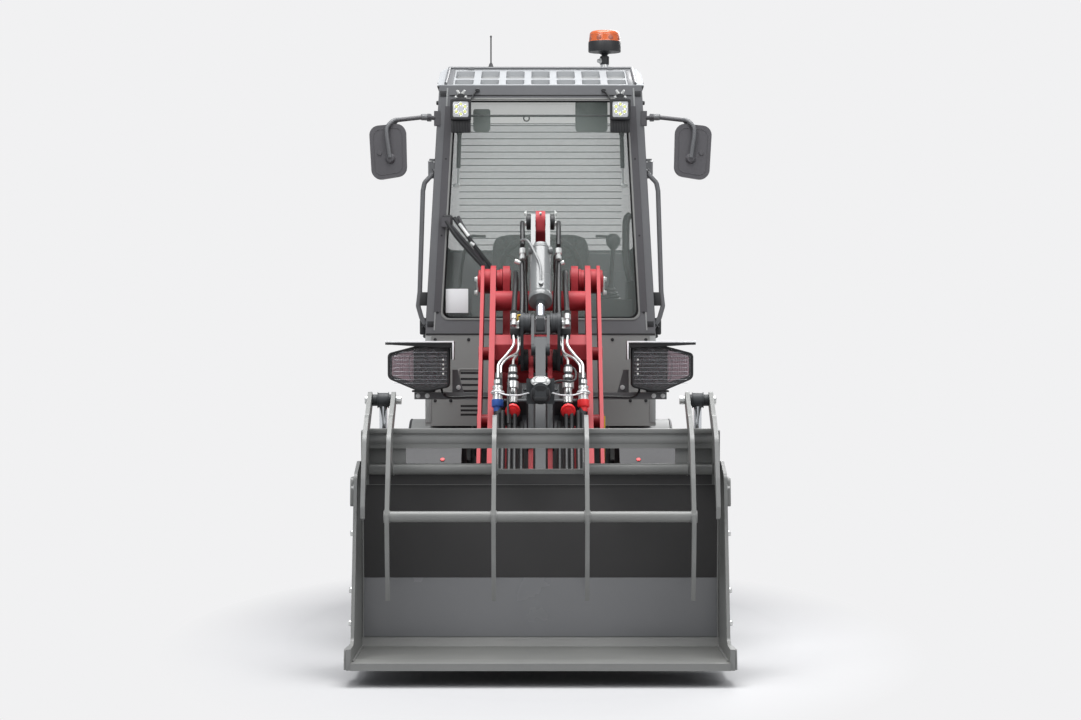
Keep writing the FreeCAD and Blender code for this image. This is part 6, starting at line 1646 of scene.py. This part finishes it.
@dataclass
class InteriorDress(Assembly):
    """The padded seat, the controls' small parts, and what is fixed inside the windows."""

    cells: int = 30
    voxel: float = 0.006
    pressure: float = 4.0
    steps: int = 20
    bolster: float = 0.152
    stitch: float = 0.0065

    def pillow(self, centre: Point, along: Point, facing: Point, halves: Point, thick: Point) -> Shape:
        """Builds a crowned pad whose sides pull in between its corners.

        Args:
            centre: the pad's middle.
            along: the direction of its length, at right angles to X.
            facing: the direction that its crowned side faces.
            halves: half its width and half its length.
            thick: how far it stands out in front of its middle and behind it.

        Returns:
            The pad.
        """
        shape = Shape()
        middle, ahead, out = Vector(centre), Vector(along).normalized(), Vector(facing).normalized()
        count = self.cells
        grids = []
        for sign, depth, power in ((1, thick[0], 3.0), (-1, thick[1], 9.0)):
            grid = []
            for i in range(count + 1):
                row = []
                for j in range(count + 1):
                    u, v = math.sin(math.pi * (i / count - 0.5)), math.sin(math.pi * (j / count - 0.5))
                    x = halves[0] * u * (1 - 0.1 * v ** 6 - 0.025 * (1 - v * v) * abs(u))
                    t = halves[1] * v * (1 - 0.1 * u ** 6 - 0.02 * (1 - u * u) * abs(v))
                    crown = max((1 - abs(u) ** power) * (1 - abs(v) ** power), 0.0) ** 0.42
                    spot = middle + Vector((x, 0, 0)) + ahead * t + out * sign * depth * crown
                    row.append(shape.bm.verts.new(spot))
                grid.append(row)
            grids.append(grid)
        for grid, order in zip(grids, (1, -1)):
            for i in range(count):
                for j in range(count):
                    quad = [grid[i][j], grid[i + 1][j], grid[i + 1][j + 1], grid[i][j + 1]]
                    shape.bm.faces.new(quad[::order])
        bmesh.ops.remove_doubles(shape.bm, verts=shape.bm.verts, dist=0.00005)
        bmesh.ops.recalc_face_normals(shape.bm, faces=shape.bm.faces)
        return shape

    def applied(self, piece: bpy.types.Object) -> None:
        """Gives a piece the mesh that its modifiers make, and removes them."""
        made = bpy.data.meshes.new_from_object(piece.evaluated_get(bpy.context.evaluated_depsgraph_get()))
        piece.modifiers.clear()
        piece.data = made

    def swell(self, piece: bpy.types.Object, facing: Point, cap: float) -> None:
        """Blows a pad up with the cloth solver, its back held by its shell.

        Args:
            piece: the pad, which starts a little too small.
            facing: the direction that its crowned side faces.
            cap: how far a point may move.
        """
        remesh = piece.modifiers.new("voxels", "REMESH")
        remesh.mode, remesh.voxel_size = "VOXEL", self.voxel
        self.applied(piece)
        out = Vector(facing).normalized()
        start = [vertex.co.copy() for vertex in piece.data.vertices]
        middle = sum(start, Vector()) / len(start)
        held = piece.vertex_groups.new(name="held")
        held.add([k for k, at in enumerate(start) if (at - middle).dot(out) < -self.voxel * 2], 1.0,
            "REPLACE")
        cloth = piece.modifiers.new("cloth", "CLOTH")
        cloth.settings.use_pressure = True
        cloth.settings.uniform_pressure_force = self.pressure
        cloth.settings.effector_weights.gravity = 0
        cloth.settings.vertex_group_mass = "held"
        scene = bpy.context.scene
        for step in range(1, self.steps + 1):
            scene.frame_set(step)
        self.applied(piece)
        for vertex, at in zip(piece.data.vertices, start):
            move = vertex.co - at
            if move.length > cap:
                vertex.co = at + move * (cap / move.length)
        scene.frame_set(1)
        piece.vertex_groups.clear()
        finer = piece.modifiers.new("finer", "SUBSURF")
        finer.levels = finer.render_levels = 1
        self.applied(piece)

    def sew(self, piece: bpy.types.Object, centre: Point, along: Point, facing: Point,
            lines: tuple[float, ...]) -> None:
        """Presses sewn channels across a pad's crowned side, and a lengthwise one beside each bolster.

        Args:
            piece: the pad.
            centre: its middle.
            along: the direction of its length.
            facing: the direction that its crowned side faces.
            lines: how far along its length the channels lie.
        """
        middle, ahead, out = Vector(centre), Vector(along).normalized(), Vector(facing).normalized()
        for vertex in piece.data.vertices:
            at = vertex.co - middle
            t, x = at.dot(ahead), abs(at.x)
            if at.dot(out) > 0:
                inside = 1 / (1 + math.exp((x - self.bolster) / 0.004))
                across = sum(math.exp(-((t - line) / self.stitch) ** 2) for line in lines) * inside
                beside = math.exp(-((x - self.bolster) / self.stitch) ** 2)
                vertex.co -= out * 0.0055 * min(across + beside, 1.0)
        piece.data.shade_smooth()

    def seat(self) -> None:
        """Adds the seat's cushion and back, blown up as cloth, and their piping."""
        cushion = self.pillow((0, 0.85, 1.15), (0, 1, 0), (0, 0, 1), (0.227, 0.202), (0.056, 0.036))
        piece = self.add("seat_cushion", cushion, SEAT, replaces=("seat_cushions",))
        self.swell(piece, (0, 0, 1), 0.009)
        self.sew(piece, (0, 0.85, 1.15), (0, 1, 0), (0, 0, 1), (-0.07, 0.07))
        middle, up = Vector((0, 1.085, 1.45)), Vector((0, 0.11, 0.994)).normalized()
        out = Vector((0, -0.994, 0.11))
        back = self.pillow(tuple(middle), tuple(up), tuple(out), (0.228, 0.226), (0.03, 0.02))
        piece = self.add("seat_back", back, SEAT, replaces=("seat_cushions",))
        self.swell(piece, tuple(out), 0.008)
        self.sew(piece, tuple(middle), tuple(up), tuple(out), (-0.1, 0.02))
        piping = Shape()
        route = []
        for k in range(25):
            angle = math.pi * k / 24
            across, rise = Vector((0.15 * math.cos(angle), 0, 0)), 0.165 * math.sin(angle) ** 0.6 - 0.02
            route.append(tuple(middle + across + up * rise + out * 0.0325))
        piping.tube(route, 0.0022, 6, 1)
        self.add("seat_piping", piping, SEAL)
        bellows = Shape()
        for k in range(5):
            z = 0.885 + 0.036 * k
            bellows.ring(oblong(-0.158, 0.752, 0.158, 1.018, 0.02),
                oblong(-0.149, 0.761, 0.149, 1.009, 0.02), Axis.Z, z, z + 0.018, 0.003)
        self.add("seat_bellows", bellows, BLACK)

    def controls(self) -> None:
        """Adds the steering wheel's grip, the display, the joystick, the lever and the switches."""
        foot, top = Vector((0, 0.375, 1.374)), Vector((0, 0.52, 1.475))
        tilt = (top - foot).normalized()
        grip = Shape().torus(tuple(top + tilt * 0.02), tuple(tilt), 0.168, 0.0142, 72, 14)
        grip.turned([(0.0435, 0.0), (0.0435, 0.018), (0.036, 0.027), (0.02, 0.031), (0.0, 0.032)],
            tuple(top + tilt * 0.002), tuple(tilt), 32)
        self.add("steering_wheel_grip", grip, SEAL, "steering_wheel")
        pod = Shape().prism([(-0.085, 1.388, 0.02), (0.085, 1.388, 0.02), (0.078, 1.455, 0.02),
            (-0.078, 1.455, 0.02)], Axis.Y, 0.392, 0.4135, 0.004)
        stick = Vector((0.3, 0.7, 1.36))
        pod.turned([(0.05, 0.0), (0.048, 0.012), (0.04, 0.016), (0.042, 0.024), (0.032, 0.028),
            (0.034, 0.036), (0.024, 0.042), (0.025, 0.05), (0.0145, 0.058), (0.0105, 0.075)], tuple(stick),
            (0.014, -0.05, 0.215), 28)
        pod.turned([(0.0115, 0.0), (0.02, 0.01), (0.0285, 0.022), (0.0315, 0.036), (0.031, 0.048),
            (0.0265, 0.06), (0.016, 0.068), (0.0, 0.071)], (0.314, 0.648, 1.576), (0, 0, 1), 28)
        pod.tube([(0.31, 0.648, 1.63), (0.28, 0.648, 1.634), (0.238, 0.648, 1.635)], 0.006, 8, 2)
        pod.tube([(-0.2955, 0.64, 1.636), (-0.262, 0.64, 1.634), (-0.236, 0.64, 1.634)], 0.006, 8, 1)
        pod.tube([(-0.2955, 0.64, 1.636), (-0.33, 0.66, 1.56), (-0.35, 0.7, 1.42), (-0.352, 0.74, 1.3)],
            0.0075, 8, 3)
        pod.box((-0.4, 0.69, 0.87), (-0.3, 0.9, 1.31), 0.012)
        self.add("control_mouldings", pod, BLACK)
        switch = Shape().box((-0.016, -0.01, -0.001), (0.016, 0.01, 0.006), 0.002)
        self.add("console_switches", copies(switch, Spread.ROW, 7, (0, 0.032, 0), SEAL, (0.3, 0.79, 1.36)),
            SEAL)
        display = Shape().box((-0.05, 0.4132, 1.402), (0.05, 0.4146, 1.444), 0.0005)
        self.add("display", display, MIRROR)

    def fittings(self) -> None:
        """Adds the sun blinds, the gas struts and the rear window's lines."""
        blinds = Shape()
        for x0, x1, z0, z1 in ((-0.2843, -0.2117, 2.063, 2.16), (0.147, 0.283, 2.063, 2.194)):
            blinds.prism([(x0, z0, 0.016), (x1, z0, 0.016), (x1, z1, 0.01), (x0, z1, 0.01)], Axis.Y, 0.396,
                0.401, 0.001)
        self.add("sun_blinds", blinds, SHADE)
        bar = Shape().rod((-0.34, 0.3985, 2.1315), (0.34, 0.3985, 2.1315), 0.005, 10)
        bar.torus((-0.059, 0.3985, 2.121), (0, 1, 0), 0.012, 0.003, 20, 6)
        bar.rod((-0.34, 0.3985, 2.1315), (-0.345, 0.3985, 2.215), 0.004, 8)
        bar.rod((0.34, 0.3985, 2.1315), (0.345, 0.3985, 2.215), 0.004, 8)
        self.add("blind_bar", bar, HOSE)
        struts = Shape().rod((0.341, 0.347, 2.052), (0.345, 0.347, 1.907), 0.0088, 14)
        struts.box((0.33, 0.334, 2.045), (0.352, 0.354, 2.075), 0.003)
        struts.rod((0.341, 0.347, 2.07), (0.343, 0.352, 2.208), 0.005, 8)
        self.pair("gas_struts", struts, BLACK)
        rods = Shape().rod((0.345, 0.347, 1.907), (0.3465, 0.347, 1.836), 0.004, 10)
        rods.box((0.338, 0.33, 1.826), (0.366, 0.35, 1.84), 0.002)
        self.pair("strut_rods", rods, ZINC)
        line = Shape().box((-0.366, -0.0008, -0.002), (0.366, 0.0008, 0.002), 0.0)
        self.add("heater_lines", copies(line, Spread.ROW, 20, (0, 0, 0.03), HEATER, (0, 1.1928, 1.59)),
            HEATER)
        shelf = Shape().box((-0.395, 1.15, 1.215), (0.395, 1.197, 1.583), 0.006)
        shelf.box((0.262, 1.136, 1.23), (0.385, 1.152, 1.5), 0.004)
        self.add("rear_inner_panel", shelf, CAB)
        pull = Shape().tube([(0.398, 1.02, 1.745), (0.385, 1.01, 1.73), (0.38, 1.0, 1.69),
            (0.38, 0.99, 1.56), (0.388, 0.985, 1.5), (0.402, 0.985, 1.45)], 0.0165, 12, 5)
        self.add("belt_guide", pull, BLACK)
        mat = Shape().box((-0.425, 0.315, 0.8605), (0.425, 1.195, 0.868), 0.002)
        for k in range(12):
            mat.box((-0.4, 0.345 + 0.032 * k, 0.8675), (-0.125, 0.357 + 0.032 * k, 0.871), 0.001)
            mat.box((0.125, 0.345 + 0.032 * k, 0.8675), (0.235, 0.357 + 0.032 * k, 0.871), 0.001)
        self.add("floor_mat", mat, HOSE)

    def build(self) -> None:
        """Builds the cab's inside."""
        self.seat()
        self.controls()
        self.fittings()


@dataclass
class RearDress(Assembly):
    """The hood's vents, latch and seals, the tail lamps, the tow pin, the blank plate and the tail pipe."""

    end: float = 1.93
    hood_end: float = 1.84

    def hood(self) -> None:
        """Adds the hood's vent frame and screens, grab handle, latch, side fins and seal."""
        end = self.hood_end
        frame_ring = Shape().ring(oblong(-0.322, 0.88, 0.322, 1.16, 0.02),
            oblong(-0.306, 0.895, 0.306, 1.147, 0.012), Axis.Y, end - 0.024, end + 0.003, 0.001)
        frame_ring.tube([(-0.09, end - 0.014, 1.178), (-0.085, end + 0.024, 1.183),
            (0.085, end + 0.024, 1.183), (0.09, end - 0.014, 1.178)], 0.009, 12, 5)
        frame_ring.turned([(0.022, 0.0), (0.022, 0.004), (0.016, 0.007), (0.0, 0.007)],
            (0.0, end - 0.022, 1.225), (0, 1, 0), 24)
        self.add("hood_vent_frame", frame_ring, BLACK, "hood")
        mesh = Shape()
        for k in range(6):
            mesh.box((-0.299, end - 0.028, 0.902 + 0.044 * k), (0.299, end - 0.02, 0.918 + 0.044 * k),
                0.001)
        self.add("hood_vent_screens", mesh, HOSE, "hood")
        fins = Shape()
        for k in range(9):
            y = 1.395 + 0.03 * k
            fins.prism(oblong(y, 1.01, y + 0.016, 1.165, 0.004), Axis.X, 0.4295, 0.4345, 0.0015)
        fins.ring(oblong(1.372, 0.992, 1.678, 1.183, 0.012), oblong(1.38, 1.0, 1.67, 1.175, 0.008), Axis.X,
            0.4295, 0.433, 0.001)
        self.pair("hood_side_vents", fins, BLACK, "hood")
        seal = Shape().box((-0.4295, 1.2655, 1.285), (0.4295, 1.2775, 1.3015), 0.003)
        self.add("hood_seal", seal, SEAL, "hood")

    def tail(self) -> None:
        """Adds the tail lamps' frames and segments, the blank plate, the tow pin, the tail pipe and bolts."""
        y = self.end - 0.03
        frames = Shape().ring(oblong(0.2995, 0.6995, 0.4005, 0.8005, 0.006),
            oblong(0.306, 0.706, 0.394, 0.794, 0.004), Axis.Y, y - 0.008, y + 0.004, 0.001)
        self.pair("tail_lamp_frames", frames, BLACK)
        amber = Shape().box((0.3655, y - 0.001, 0.7065), (0.3935, y + 0.0022, 0.7935), 0.001)
        self.pair("tail_lamp_ambers", amber, AMBER)
        clear = Shape().box((0.3065, y - 0.001, 0.7065), (0.3635, y + 0.0022, 0.733), 0.001)
        self.pair("tail_lamp_clears", clear, LAMP_FACE)
        plate = Shape().box((-0.13, self.end - 0.0005, 0.705), (0.13, self.end + 0.0015, 0.815), 0.0008)
        self.add("blank_rear_plate", plate, WHITE)
        jaw = self.end - 0.045
        pin = Shape().turned([(0.0, 0.0), (0.012, 0.001), (0.0152, 0.008), (0.0152, 0.235), (0.024, 0.236),
            (0.024, 0.246), (0.0, 0.247)], (0, jaw, 0.42), (0, 0, 1), 24)
        pin.tube([(-0.018, jaw, 0.664), (-0.026, jaw, 0.692), (0, jaw, 0.708), (0.026, jaw, 0.692),
            (0.018, jaw, 0.664)], 0.005, 10, 4)
        self.add("tow_pin", pin, ZINC)
        pipe = Shape().tube([(-0.225, 1.45, 0.72), (-0.3, 1.46, 0.69), (-0.36, 1.47, 0.61),
            (-0.372, 1.475, 0.5)], 0.026, 20)
        pipe.turned([(0.021, 0.0), (0.027, 0.001), (0.029, 0.02), (0.027, 0.04)], (-0.372, 1.475, 0.47),
            (0, 0, 1), 24)
        self.add("tail_pipe", pipe, LINKAGE)
        bolts = Shape()
        for x, z in ((0.2, 0.48), (0.2, 0.8), (0.27, 0.8), (0.115, 0.48)):
            bolts.hexagon((x, self.end - 0.001, z), (0, 1, 0), 0.024, 0.012)
        self.pair("weight_bolts", bolts, ZINC)

    def build(self) -> None:
        """Builds the rear end's small parts."""
        self.hood()
        self.tail()


@dataclass
class ChassisDress(Assembly):
    """Hub bolts, axle ribs, fender lips, step treads, collars and pivot caps on both chassis halves."""

    home: str = "front_chassis"
    axles: dict[str, float] = field(default_factory=lambda: {"front": -0.49, "rear": 0.89})
    hub: float = 0.39
    pin: float = 0.19

    def build(self) -> None:
        """Builds the chassis' small parts."""
        for name, y in self.axles.items():
            bolt = Shape().hexagon((0.0, 0, 0.1), (-1, 0, 0), 0.013, 0.009)
            bolts = spread(bolt, Spread.ROUND, 10, (math.pi / 5, 0, 0), ZINC, (0.29, y, self.hub))
            body = name + "_chassis"
            self.pair("hub_bolts_" + name, bolts, ZINC, body)
            ribs = Shape()
            for x in (-0.06, 0.0, 0.06):
                ribs.turned([(0.1165, 0.0), (0.119, 0.001), (0.119, 0.009), (0.1165, 0.01)],
                    (x - 0.005, y, self.hub), (1, 0, 0), 40)
            ribs.turned([(0.06, 0.0), (0.066, 0.002), (0.066, 0.018), (0.06, 0.02)],
                (0, y + (0.15 if name == "front" else -0.17), self.hub), (0, 1, 0), 32)
            self.add("axle_ribs_" + name, ribs, CASTING, body)
            spans = (28, 150, 0.4355, 0.56) if name == "front" else (18, 140, 0.4445, 0.566)
            start, end, radius, edge = spans
            lip = Shape()
            route = []
            for k in range(25):
                angle = math.radians(start + (end - start) * k / 24)
                route.append((edge, y + radius * math.cos(angle), self.hub + radius * math.sin(angle)))
            lip.tube(route, 0.0072, 10, 1)
            self.pair("fender_lips_" + name, lip, HOSE, body)
        for name, z in (("upper", 0.64), ("lower", 0.5)):
            bar = Shape().box((0.362, -0.005, -0.001), (0.538, 0.005, 0.005), 0.0015)
            treads = spread(bar, Spread.ROW, 5, (0, 0.022, 0), ZINC, (0, 0.348, z))
            self.pair("step_treads_" + name, treads, ZINC, "rear_chassis")
        marks = Shape()
        angle = math.radians(131)
        y, radius = self.axles["front"], 0.4405
        spot = Vector((0.371, y + radius * math.cos(angle), self.hub + radius * math.sin(angle)))
        marks.turned([(0.0, 0.0), (0.009, 0.0), (0.0085, 0.003), (0.0, 0.0032)], tuple(spot),
            (0, math.cos(angle), math.sin(angle)), 6)
        self.pair("fender_marks", marks, CAP_RED)
        strip = Shape().box((0.2475, -0.405, 0.7), (0.2545, -0.401, 0.88), 0.001)
        self.add("yellow_strip", strip, YELLOW)
        bolts = Shape()
        for y, z in ((-0.52, 0.5), (-0.45, 0.5), (-0.6, 0.5), (-0.16, 0.48), (-0.06, 0.48), (0.03, 0.48)):
            bolts.hexagon((0.1518, y, z), (1, 0, 0), 0.022, 0.013)
        self.pair("tower_bolts", bolts, ZINC)
        collars = Shape().turned([(0.047, 0.0), (0.05, 0.002), (0.05, 0.01), (0.046, 0.012),
            (0.027, 0.012)], (0.153, -0.03, 1.42), (1, 0, 0), 32)
        self.pair("tower_collars", collars, RED)
        pivots = Shape()
        for z in (0.6265, 0.3605):
            pivots.turned([(0.029, 0.0), (0.027, 0.006), (0.0, 0.007)], (0, self.pin, z),
                (0, 0, 1 if z > 0.5 else -1), 28)
            for k in range(4):
                angle = math.pi / 2 * k + 0.4
                pivots.hexagon((0.052 * math.cos(angle), self.pin + 0.052 * math.sin(angle), z - 0.0105
                    if z > 0.5 else 0.372), (0, 0, 1 if z > 0.5 else -1), 0.012, 0.007)
        self.add("pivot_caps", pivots, ZINC, "rear_chassis")


def main() -> None:
    """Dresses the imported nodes, builds every sub-assembly and reports what was made."""
    logging.basicConfig(level=logging.INFO, format="%(message)s")
    bpy.context.scene.view_settings.view_transform = "Standard"
    for finish, names in NODE_FINISHES.items():
        for name in names:
            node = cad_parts[name]
            node.data.materials.clear()
            node.data.materials.append(finish.material())
    for assembly in (Studio(), Wheels(), BucketDress(), GrappleDress(), ArmDress(), LinkageDress(),
            LampDress(), CabDress(), RoofDress(), InteriorDress(), RearDress(), ChassisDress()):
        assembly.build()
        LOG.info("%s built", type(assembly).__name__)


if __name__ == "__main__":
    main()
    bpy.context.view_layer.update()
